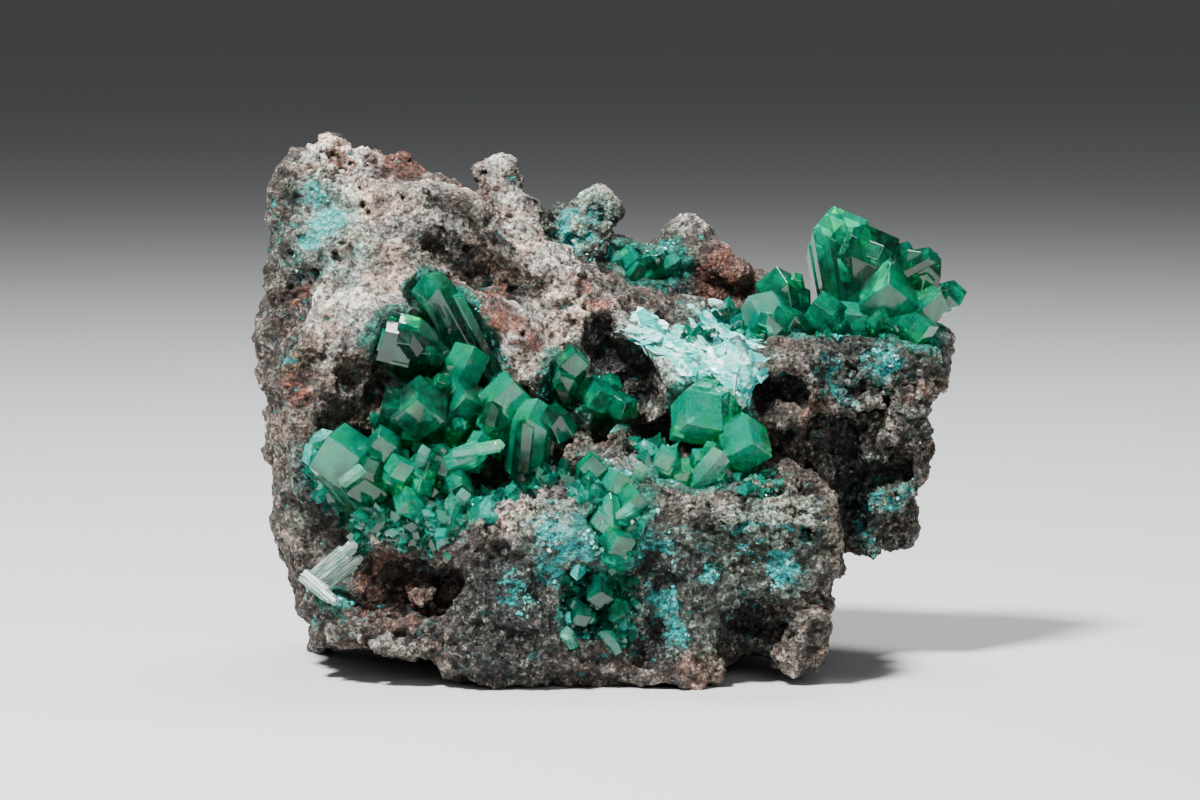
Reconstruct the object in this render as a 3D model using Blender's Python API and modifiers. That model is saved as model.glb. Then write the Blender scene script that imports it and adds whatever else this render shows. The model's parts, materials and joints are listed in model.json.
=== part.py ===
"""Dioptase crystals on their matrix rock: a hand specimen about 45 mm wide.

Run with: blender --background --python part.py
Metres, +Z up, the origin under the middle of the specimen on the surface it rests on.
The side with the crystals faces -Y.
"""

import math

import bmesh
import bpy
from mathutils import Euler, Matrix, Vector, noise

MM = 0.001
# The middle of the specimen's bounds, measured where the lumps below were placed.
MIDDLE = Vector((0.2, 2.9, 0.0))

# The matrix rock, in millimetres. Unevenness is a share of a lump's or a hollow's own size.
VOXEL = 0.36
LUMP_UNEVENNESS = 0.12
HOLLOW_UNEVENNESS = 0.5
UNEVENNESS_WAVES = 1.7
CELL_SIZE = 2.4
CELL_RELIEF = 0.7
GRAIN_SIZE = 1.5
GRAIN_RELIEF = 1.1
MATRIX_TRIANGLES = 6200
UNDERSIDE_REACH = 30.0
EGG_POWER = 2.0
BRICK_POWER = 8.0

# A lump is a rounded block: centre, half size, turn in degrees, squareness from 0, an egg, to 1, a brick.
TOWER = [
    ((-14.6, 4.5, 10.6), (6.2, 8.2, 9.4), (0, -4, 0), 0.5),
    ((-15.4, 5.5, 20.0), (6.5, 7.2, 8.5), (0, 3, 0), 0.5),
    ((-15.2, 6.0, 26.9), (6.8, 5.4, 4.3), (0, 12, 0), 0.75),
    ((-12.9, 6.4, 30.0), (3.4, 3.0, 1.6), (0, 17, 0), 0.5),
    ((-19.8, 5.0, 28.6), (1.5, 3.4, 3.0), (0, 3, 0), 0.6),
    ((-17.8, 6.6, 31.4), (2.9, 2.8, 1.4), (0, 8, 0), 0.3),
    ((-17.4, 7.2, 32.9), (1.0, 1.1, 1.0), (0, 0, 20), 0.4),
    ((-20.2, 3.5, 21.0), (2.2, 4.0, 2.6), (0, 0, 0), 0.3),
    ((-20.0, 3.0, 14.5), (1.9, 3.5, 2.8), (0, 0, 0), 0.3),
    ((-19.8, 3.0, 9.4), (1.7, 3.2, 2.6), (0, 0, 0), 0.3),
    ((-16.6, 3.2, 4.6), (3.1, 5.6, 3.6), (0, -20, 0), 0.4),
    ((-14.2, -0.2, 21.8), (4.6, 4.2, 3.2), (10, 0, 0), 0.3),
    ((-14.8, 2.5, 25.8), (4.8, 3.2, 2.4), (0, 6, 0), 0.4),
    ((-18.0, -1.2, 16.0), (2.6, 3.4, 5.6), (0, -8, 0), 0.4),
    ((-9.2, 2.8, 28.0), (2.4, 3.0, 1.5), (0, 18, 8), 0.8),
    ((-18.6, 6.4, 0.8), (1.1, 1.5, 1.5), (0, 0, 0), 0.3),
]
RIDGE = [
    ((-4.6, 4.8, 22.2), (7.6, 4.6, 4.4), (0, 30, -8), 0.5),
    ((4.2, 2.6, 18.6), (7.0, 4.2, 3.0), (0, 22, -12), 0.6),
    ((9.5, 1.5, 17.6), (4.0, 4.5, 2.6), (0, 14, 0), 0.5),
    ((-6.6, 0.2, 20.6), (4.6, 3.6, 2.5), (0, 38, 0), 0.4),
    ((5.4, -1.0, 18.4), (4.9, 3.6, 1.3), (32, 22, -10), 0.8),
    ((8.8, -0.6, 19.6), (2.0, 2.4, 1.1), (20, 10, 20), 0.8),
]
BACK = [
    ((-3.0, 8.0, 13.0), (13.0, 7.5, 12.0), (0, 8, 0), 0.6),
    ((6.0, 9.0, 15.0), (12.0, 6.0, 7.0), (0, 4, 0), 0.5),
    ((2.5, 11.0, 21.6), (8.0, 3.2, 3.4), (0, 4, 0), 0.5),
    ((3.0, 9.0, 5.5), (11.0, 7.0, 6.0), (0, 0, 0), 0.5),
    ((-9.0, 12.2, 8.0), (5.0, 3.2, 5.0), (0, 0, 30), 0.6),
    ((9.5, 13.2, 12.0), (4.2, 2.4, 5.0), (0, 12, -20), 0.6),
    ((-13.4, 11.6, 22.0), (4.6, 3.0, 5.6), (0, 8, 14), 0.7),
    ((-15.4, 11.8, 10.0), (4.4, 3.2, 5.4), (0, -6, -12), 0.7),
    ((-4.6, 14.4, 17.4), (3.8, 2.0, 3.6), (12, 10, 8), 0.7),
    ((1.6, 14.8, 5.4), (5.6, 1.8, 3.4), (-10, -8, 0), 0.6),
    ((4.6, 13.6, 19.2), (3.4, 1.8, 2.8), (14, 0, -10), 0.6),
    ((-10.6, 14.0, 3.4), (3.4, 2.0, 2.6), (0, 12, 16), 0.6),
    ((14.2, 11.4, 17.4), (4.4, 2.4, 3.0), (0, 0, -24), 0.7),
    ((14.4, 11.2, 9.8), (3.0, 2.2, 2.8), (0, 16, -30), 0.6),
]
KNOBS = [
    ((-7.1, 9.0, 30.9), (1.35, 1.3, 1.1), (0, 8, 0), 0.5),
    ((-6.7, 9.0, 28.4), (1.6, 1.6, 2.8), (0, -12, 0), 0.3),
    ((-5.0, 8.6, 26.8), (1.8, 1.8, 2.6), (0, -10, 0), 0.4),
    ((-1.9, 11.0, 26.4), (2.1, 1.6, 1.8), (0, 10, 0), 0.5),
    ((-0.6, 11.0, 28.3), (1.0, 1.1, 1.3), (0, 10, 0), 0.5),
    ((-2.7, 11.0, 28.0), (0.9, 0.9, 0.9), (0, 0, 0), 0.3),
    ((5.0, 11.0, 26.6), (1.65, 1.4, 1.25), (0, 6, 15), 0.8),
    ((5.2, 10.5, 24.6), (2.4, 2.2, 2.2), (0, 0, 0), 0.3),
    ((2.0, 11.0, 24.8), (2.3, 1.8, 1.5), (0, 0, 0), 0.4),
    ((8.9, 10.0, 22.4), (3.4, 2.4, 2.0), (0, 0, 0), 0.4),
]
FRONT = [
    ((-4.5, -3.2, 6.0), (7.6, 7.2, 6.2), (0, -4, 10), 0.55),
    ((-13.2, -2.8, 3.6), (5.2, 4.8, 2.2), (0, 6, -14), 0.4),
    ((-12.6, -4.4, 9.6), (3.0, 3.6, 1.7), (0, 0, 0), 0.3),
    ((-10.8, -2.0, 6.6), (4.0, 4.6, 5.0), (0, 0, 0), 0.5),
    ((8.2, -2.6, 6.4), (6.5, 6.4, 6.0), (0, 4, -8), 0.55),
    ((9.7, -3.2, 10.2), (5.2, 5.0, 3.0), (8, 10, 0), 0.4),
    ((4.6, -7.2, 9.8), (3.2, 1.9, 1.0), (10, 14, -8), 0.6),
    ((-0.2, -4.0, 11.6), (6.0, 3.8, 1.6), (0, 0, 0), 0.4),
    ((1.9, -3.6, 14.5), (2.0, 1.7, 1.6), (0, -12, 20), 0.8),
    ((0.4, -4.6, 12.9), (1.7, 1.5, 1.3), (0, 10, 0), 0.7),
    ((-2.2, -3.4, 15.4), (1.2, 1.5, 1.5), (0, 0, 0), 0.3),
    ((3.8, -7.2, 1.2), (3.2, 2.4, 1.9), (0, 0, 0), 0.4),
    ((10.8, -3.6, 2.2), (1.4, 1.5, 2.4), (0, 0, 0), 0.4),
    ((-4.0, -8.2, 0.8), (0.9, 1.0, 1.3), (0, 0, 0), 0.3),
    ((-1.6, -4.4, 1.6), (4.6, 4.4, 2.4), (0, 0, 0), 0.4),
]
RIGHT_WALL = [
    ((15.0, 6.6, 14.6), (5.2, 6.0, 6.0), (0, 3, 0), 0.5),
    ((16.8, 6.6, 18.7), (5.0, 5.2, 2.3), (0, 0, 0), 0.6),
    ((20.5, 6.6, 19.8), (1.8, 2.4, 1.7), (0, 0, 0), 0.3),
    ((19.0, 7.4, 15.8), (1.6, 3.0, 2.4), (0, 0, 0), 0.5),
    ((18.8, 7.4, 12.4), (2.0, 3.2, 1.8), (0, 0, 0), 0.5),
    ((17.9, 7.6, 8.2), (2.1, 3.4, 1.9), (0, -6, 0), 0.5),
    ((15.2, 6.6, 8.6), (2.4, 4.2, 2.4), (0, 0, 0), 0.4),
    ((12.2, 0.9, 18.6), (1.5, 1.7, 2.2), (0, 0, 20), 0.85),
]
LUMPS = TOWER + RIDGE + BACK + KNOBS + FRONT + RIGHT_WALL

HOLLOWS = [
    ((-11.6, -6.0, 14.0), (5.8, 4.6, 3.4), (0, 0, 0), 0.3),
    ((-10.6, -5.0, 18.6), (3.8, 4.0, 3.8), (0, -14, 0), 0.3),
    ((-10.6, -3.6, 23.0), (1.5, 2.6, 2.0), (0, -28, 0), 0.3),
    ((-5.8, -6.0, 16.2), (3.8, 3.6, 2.2), (0, 24, 0), 0.3),
    ((-16.8, -7.2, 9.4), (0.9, 2.4, 0.9), (0, 0, 0), 0.2),
    ((-12.6, -7.6, 5.9), (3.6, 2.8, 1.6), (0, 6, 0), 0.3),
    ((-9.4, -0.6, 26.1), (2.2, 1.8, 0.9), (0, 35, 0), 0.3),
    ((-7.8, -0.4, 24.8), (0.8, 2.2, 1.0), (0, 10, 0), 0.2),
    ((-16.1, -0.6, 28.2), (0.5, 1.6, 0.7), (0, 20, 0), 0.2),
    ((-18.6, -0.5, 23.6), (0.5, 1.6, 0.8), (0, 0, 0), 0.2),
    ((-0.5, -1.4, 20.8), (0.8, 2.6, 1.4), (0, -20, 0), 0.3),
    ((1.7, -2.0, 19.5), (0.8, 2.4, 0.8), (0, 0, 0), 0.3),
    ((1.0, -3.0, 17.7), (2.3, 3.8, 1.8), (0, 0, 0), 0.3),
    ((6.6, -5.2, 15.0), (4.2, 3.4, 1.9), (0, 10, 0), 0.3),
    ((10.7, -1.6, 17.4), (1.5, 2.2, 1.0), (0, 0, 0), 0.6),
    ((15.0, -0.6, 10.0), (1.2, 4.2, 4.6), (0, 6, 0), 0.3),
    ((5.6, 6.4, 24.0), (5.6, 2.5, 2.6), (0, 6, 0), 0.3),
    ((5.0, -10.6, 7.0), (2.9, 1.7, 2.0), (0, 0, 0), 0.3),
    ((-0.4, -10.6, 5.4), (2.4, 2.6, 1.9), (0, 0, 0), 0.3),
    ((3.0, -9.8, 2.9), (1.5, 2.5, 1.1), (0, -25, 0), 0.3),
    ((8.7, -8.2, 3.4), (1.7, 2.4, 1.8), (0, 20, 0), 0.5),
    ((8.9, -6.0, 0.5), (0.9, 4.2, 1.1), (0, 0, 0), 0.4),
    ((12.6, -8.0, 9.8), (0.9, 2.4, 0.5), (0, 0, 0), 0.4),
    ((12.6, -5.6, 11.9), (1.0, 1.6, 0.6), (0, 0, 0), 0.4),
    ((14.2, 0.6, 15.0), (2.0, 1.8, 1.0), (0, 20, 0), 0.4),
    ((17.4, 0.8, 12.4), (1.6, 2.4, 1.2), (0, -20, 0), 0.5),
    ((16.6, 1.2, 16.6), (1.4, 2.0, 0.8), (0, 10, 0), 0.5),
    ((18.0, 4.0, 3.4), (6.0, 12.0, 2.6), (0, 0, 0), 0.6),
    ((3.4, 17.6, 12.4), (4.4, 2.8, 3.0), (0, 14, 0), 0.5),
    ((-10.0, 16.4, 12.6), (2.6, 3.4, 4.6), (0, 24, 0), 0.5),
    ((-6.4, 16.6, 7.6), (3.2, 2.4, 1.4), (0, -10, 0), 0.4),
    ((10.6, 15.6, 5.2), (2.6, 3.2, 3.0), (0, 0, 0), 0.5),
    ((9.4, 15.0, 17.8), (1.6, 2.4, 2.2), (0, 10, 0), 0.4),
    ((-22.6, 7.4, 16.6), (1.6, 2.6, 3.4), (10, 0, 0), 0.4),
    ((-22.8, 4.6, 26.0), (1.6, 2.2, 1.4), (0, 0, 0), 0.4),
    ((-22.4, 0.6, 11.8), (1.5, 2.2, 1.2), (20, 0, 0), 0.4),
    ((-14.6, -6.4, -0.8), (5.4, 5.0, 2.0), (0, 0, 0), 0.4),
    ((12.8, -4.6, -0.9), (1.6, 3.0, 1.6), (0, 0, 0), 0.4),
]

# Dioptase grows as a six-sided prism ended by three rhombohedral faces. This tilts them from the long axis.
FACE_TILT = math.radians(51.0)
# Where a prism's first long edge stands, in degrees: the end faces stand over every other edge.
FIRST_EDGE = 30.0
# The gap between a crystal and its socket, in millimetres, and the weld between a crystal's faces, in metres.
SOCKET_GAP = 0.25
WELD = 0.000002

# A crystal: its tip, the way it points, its radius, its length and its turn about itself in degrees.
CRYSTALS = {
    "rim_crystals": [
        ((14.4, 8.4, 28.6), (-0.18, 0.10, 1.00), 2.15, 9.5, 10),
        ((16.3, 5.2, 27.6), (-0.10, -0.45, 0.90), 2.10, 8.0, 40),
        ((19.2, 7.2, 26.4), (0.35, 0.05, 0.95), 1.80, 7.0, 5),
        ((17.6, 2.4, 24.0), (-0.10, -0.85, 0.35), 2.20, 6.0, 0),
        ((20.3, 4.6, 26.2), (0.25, -0.25, 0.95), 1.35, 6.5, 20),
        ((21.0, 3.4, 23.4), (0.55, -0.60, 0.45), 1.50, 5.0, 0),
        ((22.9, 6.4, 23.2), (0.95, -0.10, 0.25), 1.00, 4.0, 15),
        ((20.2, 1.6, 21.4), (0.45, -0.80, 0.20), 1.15, 3.4, 30),
        ((12.9, 3.0, 22.8), (-0.50, -0.65, 0.55), 1.35, 4.5, 10),
        ((15.0, 3.6, 22.0), (-0.30, -0.80, 0.30), 1.30, 4.5, 35),
    ],
    "shoulder_crystals": [
        ((10.7, 5.5, 24.9), (-0.15, -0.10, 0.95), 1.55, 6.5, 15),
        ((8.8, 2.6, 23.2), (-0.55, -0.35, 0.76), 1.60, 5.5, 0),
        ((10.6, 2.0, 22.6), (-0.45, -0.45, 0.76), 1.20, 5.0, 30),
    ],
    "hollow_crystals": [
        ((-11.3, -3.2, 25.0), (-0.42, -0.35, 0.84), 1.35, 8.5, 12),
        ((-9.7, -2.8, 24.0), (-0.42, -0.30, 0.86), 0.60, 7.0, 0),
        ((-8.2, -4.6, 20.6), (0.35, -0.55, 0.75), 1.35, 5.0, 20),
        ((-13.6, -6.0, 21.6), (-0.45, -0.75, 0.45), 1.75, 6.0, 30),
        ((-11.6, -8.2, 17.6), (-0.05, -0.92, 0.35), 1.95, 6.0, 0),
        ((-13.8, -7.2, 17.2), (-0.55, -0.75, 0.30), 1.60, 5.0, 25),
        ((-8.7, -6.4, 17.6), (0.15, -0.90, 0.35), 1.90, 6.0, 12),
        ((-5.8, -6.4, 18.6), (0.25, -0.70, 0.66), 1.55, 5.0, 0),
        ((-4.3, -6.8, 17.6), (0.15, -0.40, 0.90), 1.35, 5.2, 20),
        ((-13.9, -8.2, 15.4), (-0.15, -0.85, 0.50), 1.15, 5.0, 8),
        ((-17.0, -7.8, 15.4), (-0.42, -0.60, 0.68), 2.10, 6.5, 15),
        ((-14.8, -8.4, 12.8), (-0.20, -0.90, 0.30), 1.50, 5.5, 0),
        ((-12.6, -9.0, 14.0), (0.10, -0.80, 0.55), 0.95, 4.0, 20),
        ((-10.8, -8.8, 14.0), (0.30, -0.80, 0.50), 1.00, 4.0, 40),
        ((-7.4, -8.4, 14.6), (0.80, -0.50, 0.35), 0.80, 4.2, 0),
        ((-12.0, -9.2, 11.6), (0.10, -0.90, 0.20), 1.00, 4.0, 10),
        ((-8.8, -9.0, 12.6), (0.25, -0.90, 0.15), 0.90, 4.0, 0),
    ],
    "lath_crystals": [
        ((-15.2, -7.6, 8.9), (0.66, -0.40, 0.58), 0.85, 4.8, 0),
        ((-14.9, -7.0, 8.0), (0.66, -0.35, 0.55), 0.60, 4.2, 30),
        ((-16.4, -7.4, 5.0), (0.70, -0.45, -0.50), 0.70, 3.2, 0),
    ],
    "chain_crystals": [
        ((-0.9, -7.6, 14.2), (0.10, -0.60, 0.76), 1.05, 4.0, 0),
        ((0.6, -8.2, 13.2), (0.10, -0.70, 0.70), 1.10, 4.0, 25),
        ((1.9, -8.8, 12.0), (0.45, -0.70, 0.50), 1.00, 3.6, 0),
        ((-0.6, -9.9, 11.0), (-0.20, -0.80, 0.50), 0.95, 3.4, 10),
        ((0.6, -10.6, 9.6), (0.10, -0.90, 0.35), 1.10, 3.6, 30),
    ],
    "vug_crystals": [
        ((4.8, -6.6, 16.0), (-0.30, -0.85, -0.10), 1.95, 5.5, 12),
        ((8.8, -7.4, 14.9), (0.25, -0.92, 0.10), 1.80, 5.5, 0),
        ((7.0, -7.8, 14.4), (0.50, -0.55, 0.65), 0.80, 3.6, 0),
        ((3.2, -7.2, 14.4), (-0.30, -0.70, 0.55), 0.90, 3.4, 20),
    ],
    "cleft_crystals": [
        ((-2.0, -4.4, 20.2), (0.20, -0.75, 0.60), 1.10, 4.0, 0),
        ((-2.9, -4.8, 18.8), (-0.20, -0.80, 0.45), 0.80, 3.6, 25),
        ((-0.5, -4.2, 17.8), (0.10, -0.90, 0.30), 1.20, 4.5, 20),
        ((1.1, -4.0, 17.0), (0.30, -0.85, 0.20), 1.00, 4.0, 45),
    ],
    "toe_crystals": [
        ((-0.4, -10.6, 6.2), (0.10, -0.95, 0.20), 0.95, 3.6, 0),
        ((-1.9, -10.6, 4.8), (-0.30, -0.90, 0.10), 0.80, 3.2, 20),
        ((1.0, -10.4, 4.8), (0.40, -0.85, -0.10), 0.80, 3.2, 10),
    ],
    "back_rim_crystals": [
        ((1.2, 9.2, 26.0), (-0.10, -0.55, 0.80), 0.95, 4.0, 0),
        ((2.0, 8.8, 24.9), (0.20, -0.80, 0.50), 0.95, 3.6, 20),
        ((4.9, 8.6, 25.4), (0.75, -0.45, 0.40), 0.75, 4.0, 0),
    ],
    "bowl_crystal": [
        ((2.8, 6.0, 22.8), (0.30, -0.60, 0.70), 0.85, 3.6, 0),
    ],
}
MATRIX_COLOUR = (0.24, 0.20, 0.17, 1.0)
CRYSTAL_COLOUR = (0.005, 0.19, 0.085, 1.0)
PALE_CRYSTAL_COLOUR = (0.25, 0.42, 0.33, 1.0)


def rounded_block(mesh, shape, unevenness, place):
    """Adds a rock lump to a bmesh: a sphere pushed out towards a brick, with an uneven skin."""
    centre, half, turn, squareness = shape
    made = bmesh.ops.create_icosphere(mesh, subdivisions=3, radius=1.0)
    power = EGG_POWER + (BRICK_POWER - EGG_POWER) * squareness
    spin = Euler([math.radians(angle) for angle in turn]).to_matrix()
    for vertex in made["verts"]:
        way = vertex.co.normalized()
        reach = sum(abs(part) ** power for part in way) ** (-1.0 / power)
        reach *= 1.0 + unevenness * noise.noise(way * UNEVENNESS_WAVES + place)
        stretched = Vector(part * reach * size for part, size in zip(way, half))
        vertex.co = (spin @ stretched + Vector(centre) - MIDDLE) * MM


def new_object(name, mesh, collection):
    data = bpy.data.meshes.new(name)
    mesh.to_mesh(data)
    mesh.free()
    made = bpy.data.objects.new(name, data)
    collection.objects.link(made)
    return made


def lump_object(name, lumps, unevenness, collection):
    """Every lump in one mesh, each uneven in its own way: its noise is read at its own place."""
    mesh = bmesh.new()
    for shape in lumps:
        rounded_block(mesh, shape, unevenness, Vector(shape[0]))
    return new_object(name, mesh, collection)


def helper(obj):
    obj.hide_render = True
    obj.display_type = "WIRE"
    return obj


def join_by_voxels(obj, size):
    remesh = obj.modifiers.new("join", "REMESH")
    remesh.mode = "VOXEL"
    remesh.voxel_size = size * MM


def displace(obj, texture, strength):
    relief = obj.modifiers.new(texture.name, "DISPLACE")
    relief.texture = texture
    relief.texture_coords = "LOCAL"
    relief.strength = strength * MM
    relief.mid_level = 0.5


def settle(obj):
    """Applies every modifier."""
    graph = bpy.context.evaluated_depsgraph_get()
    data = bpy.data.meshes.new_from_object(obj.evaluated_get(graph))
    obj.modifiers.clear()
    obj.data = data


def boolean(obj, operation, cutter):
    """Cuts or joins with one object, or with every object of a collection."""
    made = obj.modifiers.new(cutter.name, "BOOLEAN")
    made.operation = operation
    if isinstance(cutter, bpy.types.Collection):
        made.operand_type = "COLLECTION"
        made.collection = cutter
    else:
        made.object = cutter


def keep_largest(obj):
    """Removes the crumbs that relief and cuts leave loose."""
    mesh = bmesh.new()
    mesh.from_mesh(obj.data)
    left = set(mesh.faces)
    islands = []
    while left:
        front = [left.pop()]
        island = []
        while front:
            face = front.pop()
            island.append(face)
            joints = [edge for edge in face.edges if len(edge.link_faces) == 2]
            near = {other for edge in joints for other in edge.link_faces} & left
            left -= near
            front.extend(near)
        islands.append(island)
    islands.sort(key=len)
    for island in islands[:-1]:
        bmesh.ops.delete(mesh, geom=island, context="FACES")
    mesh.to_mesh(obj.data)
    mesh.free()


def principled(name, colour, roughness):
    material = bpy.data.materials.new(name)
    material.use_nodes = True
    shader = material.node_tree.nodes["Principled BSDF"]
    shader.inputs["Base Color"].default_value = colour
    shader.inputs["Roughness"].default_value = roughness
    shader.inputs["Metallic"].default_value = 0.0
    return material


def relief_textures():
    cells = bpy.data.textures.new("cells", "VORONOI")
    cells.noise_scale = CELL_SIZE * MM
    cells.weight_1 = -1.0
    cells.weight_2 = 1.0
    grain = bpy.data.textures.new("grain", "CLOUDS")
    grain.noise_scale = GRAIN_SIZE * MM
    grain.noise_depth = 3
    return cells, grain


def build_matrix(parts, cutters):
    """The rock: lumps joined, hollows cut, the skin made uneven and the underside cut flat."""
    matrix = lump_object("matrix", LUMPS, LUMP_UNEVENNESS, parts)
    join_by_voxels(matrix, VOXEL)
    hollows = helper(lump_object("hollows", HOLLOWS, HOLLOW_UNEVENNESS, cutters))
    join_by_voxels(hollows, VOXEL)
    boolean(matrix, "DIFFERENCE", hollows)
    join_by_voxels(matrix, VOXEL)
    cells, grain = relief_textures()
    displace(matrix, cells, CELL_RELIEF)
    displace(matrix, grain, GRAIN_RELIEF)
    join_by_voxels(matrix, VOXEL)
    settle(matrix)
    thin = matrix.modifiers.new("fewer faces", "DECIMATE")
    thin.ratio = MATRIX_TRIANGLES / (2 * len(matrix.data.polygons))
    mesh = bmesh.new()
    bmesh.ops.create_cube(mesh, size=2 * UNDERSIDE_REACH * MM)
    bmesh.ops.translate(mesh, verts=mesh.verts, vec=(0.0, 0.0, -UNDERSIDE_REACH * MM))
    below = helper(new_object("below the underside", mesh, cutters))
    boolean(matrix, "DIFFERENCE", below)
    settle(matrix)
    return matrix


def crystal_object(name, shape, collection, grow=0.0):
    """One crystal with its tip at the origin, put in its place, or with grow the socket that holds it."""
    tip, way, radius, length, turn = shape
    mesh = bmesh.new()
    wide = (radius + grow) * MM
    deep = 2.0 * (length + grow) * MM
    bmesh.ops.create_cone(mesh, cap_ends=True, segments=6, radius1=wide, radius2=wide, depth=deep)
    for third in range(3):
        around = math.radians(FIRST_EDGE + 120.0 * third)
        level = Vector((math.cos(around), math.sin(around), 0.0))
        normal = level * math.sin(FACE_TILT) + Vector((0.0, 0.0, math.cos(FACE_TILT)))
        everything = mesh.verts[:] + mesh.edges[:] + mesh.faces[:]
        sliced = bmesh.ops.bisect_plane(
            mesh, geom=everything, plane_co=normal * grow * MM, plane_no=normal, clear_outer=True
        )
        rim = [part for part in sliced["geom_cut"] if isinstance(part, bmesh.types.BMEdge)]
        bmesh.ops.holes_fill(mesh, edges=rim)
        bmesh.ops.remove_doubles(mesh, verts=mesh.verts[:], dist=WELD)
    bmesh.ops.recalc_face_normals(mesh, faces=mesh.faces[:])
    aim = Vector(way).to_track_quat("Z", "Y").to_matrix().to_4x4()
    spin = Matrix.Rotation(math.radians(turn), 4, "Z")
    mesh.transform(Matrix.Translation((Vector(tip) - MIDDLE) * MM) @ aim @ spin)
    return new_object(name, mesh, collection)


def build_cluster(name, shapes, parts, cutters):
    """Crystals grown together: one solid, joined from its crystals."""
    first = crystal_object(name, shapes[0], parts)
    others = bpy.data.collections.new(f"{name} others")
    cutters.children.link(others)
    for shape in shapes[1:]:
        helper(crystal_object(f"{name} other", shape, others))
    boolean(first, "UNION", others)
    settle(first)
    return first


def main():
    for obj in list(bpy.data.objects):
        bpy.data.objects.remove(obj)
    parts = bpy.data.collections.new("dioptase_specimen")
    cutters = bpy.data.collections.new("cutters")
    bpy.context.scene.collection.children.link(parts)
    bpy.context.scene.collection.children.link(cutters)

    matrix = build_matrix(parts, cutters)
    matrix.data.materials.append(principled("matrix rock", MATRIX_COLOUR, 0.85))
    green = principled("dioptase", CRYSTAL_COLOUR, 0.15)
    pale = principled("pale dioptase", PALE_CRYSTAL_COLOUR, 0.3)

    sockets = bpy.data.collections.new("sockets")
    cutters.children.link(sockets)
    for name, shapes in CRYSTALS.items():
        cluster = build_cluster(name, shapes, parts, cutters)
        cluster.data.materials.clear()
        cluster.data.materials.append(pale if name == "lath_crystals" else green)
        for shape in shapes:
            helper(crystal_object(f"{name} socket", shape, sockets, SOCKET_GAP))
    boolean(matrix, "DIFFERENCE", sockets)
    settle(matrix)
    keep_largest(matrix)


main()
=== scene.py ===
import json
import math

import bpy
import numpy as np
from mathutils import Matrix, Vector, noise

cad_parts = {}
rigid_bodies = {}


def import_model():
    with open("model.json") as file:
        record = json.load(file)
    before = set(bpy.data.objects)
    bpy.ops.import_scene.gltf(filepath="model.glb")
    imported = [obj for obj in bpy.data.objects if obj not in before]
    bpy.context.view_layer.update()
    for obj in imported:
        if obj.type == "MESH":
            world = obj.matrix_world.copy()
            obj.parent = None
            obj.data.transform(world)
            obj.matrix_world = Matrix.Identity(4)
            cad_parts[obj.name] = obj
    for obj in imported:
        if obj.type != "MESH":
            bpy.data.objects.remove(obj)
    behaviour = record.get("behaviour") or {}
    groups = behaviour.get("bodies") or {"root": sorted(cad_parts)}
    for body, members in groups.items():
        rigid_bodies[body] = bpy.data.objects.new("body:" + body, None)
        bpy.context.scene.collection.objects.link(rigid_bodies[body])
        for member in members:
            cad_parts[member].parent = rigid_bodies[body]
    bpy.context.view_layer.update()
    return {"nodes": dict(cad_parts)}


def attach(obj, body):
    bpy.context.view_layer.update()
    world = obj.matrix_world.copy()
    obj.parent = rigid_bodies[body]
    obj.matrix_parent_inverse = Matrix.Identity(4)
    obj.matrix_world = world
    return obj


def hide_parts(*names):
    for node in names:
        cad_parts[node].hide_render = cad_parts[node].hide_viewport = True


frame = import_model()

# A specimen of emerald-green dioptase crystals on rugged grey-brown rock, 45 mm wide.
# Places and sizes are in millimetres, in the frame that the solids were laid out in;
# MIDDLE moves that frame's origin under the middle of the specimen.
MM = 0.001
MIDDLE = np.array((0.2, 2.9, 0.0))
CHANCE = np.random.default_rng(41)

# Camera, from the front. Its dip is the photograph's, from two lengths in pixels: how far the horizon lies
# above the picture's middle, and the focal length.
HORIZON_PIXELS = 400
FOCAL_PIXELS = 4443
CAMERA_PLACE = (-0.0007, -0.2789, 0.0417)
CAMERA_LENS = 133.3
CAMERA_DIP = math.atan(HORIZON_PIXELS / FOCAL_PIXELS)

# Soft lights: name, place and size in metres, and power. All of them aim at one point.
LIGHTS = [
    ("key", (-0.10, -0.14, 0.27), (0.05, 0.05), 3.1),
    ("top", (0.03, 0.13, 0.28), (0.14, 0.12), 0.85),
    ("front", (0.10, -0.40, 0.20), (0.36, 0.28), 0.40),
]
LIGHT_AIM = (0.0, 0.0, 0.015)
AIR_COLOUR = (0.56, 0.58, 0.60)
AIR_STRENGTH = 0.15

# The rock's skin: the voxels that melt it together, how far it swells over the solid, the depth where it
# is parted in two meshes across the view, and the triangles that each half keeps.
COARSE_VOXEL = 0.22
FINE_VOXEL = 0.19
SWELLING = 0.16
PARTING = 3.0
ROCK_TRIANGLES = 190000
# Its material reads how far the skin stands out of its surroundings, up to this span either way: it paints
# shade into the hollows from it and makes the skin lighter where it stands out. The grains get one fixed
# height, so they are painted lighter too.
RELIEF_SPAN = 0.32
RELIEF_ROUNDS = 14
GRAIN_RELIEF = 0.12

# Dioptase grows as a six-sided prism ended by three faces, whose normals lean this far from the long axis.
# They stand over every other edge of the prism, the first of which is at this turn in degrees.
FACE_TILT = math.radians(51.0)
FIRST_EDGE = 30.0
DIOPTASE_IOR = 1.67
PALE_IOR = 1.66
CRUST_IOR = 1.6
WORN_EDGE = 0.04
LATH_EDGE = 0.02
# Thin columns to a lath, lesser crystals beside each large one, and the radius from which it has them all.
BLADES = 6
SIBLINGS = 3
STOUT = 1.2
# Fillers grow between crystals whose tips are no further apart than this.
NEIGHBOURLY = 5.5

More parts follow.
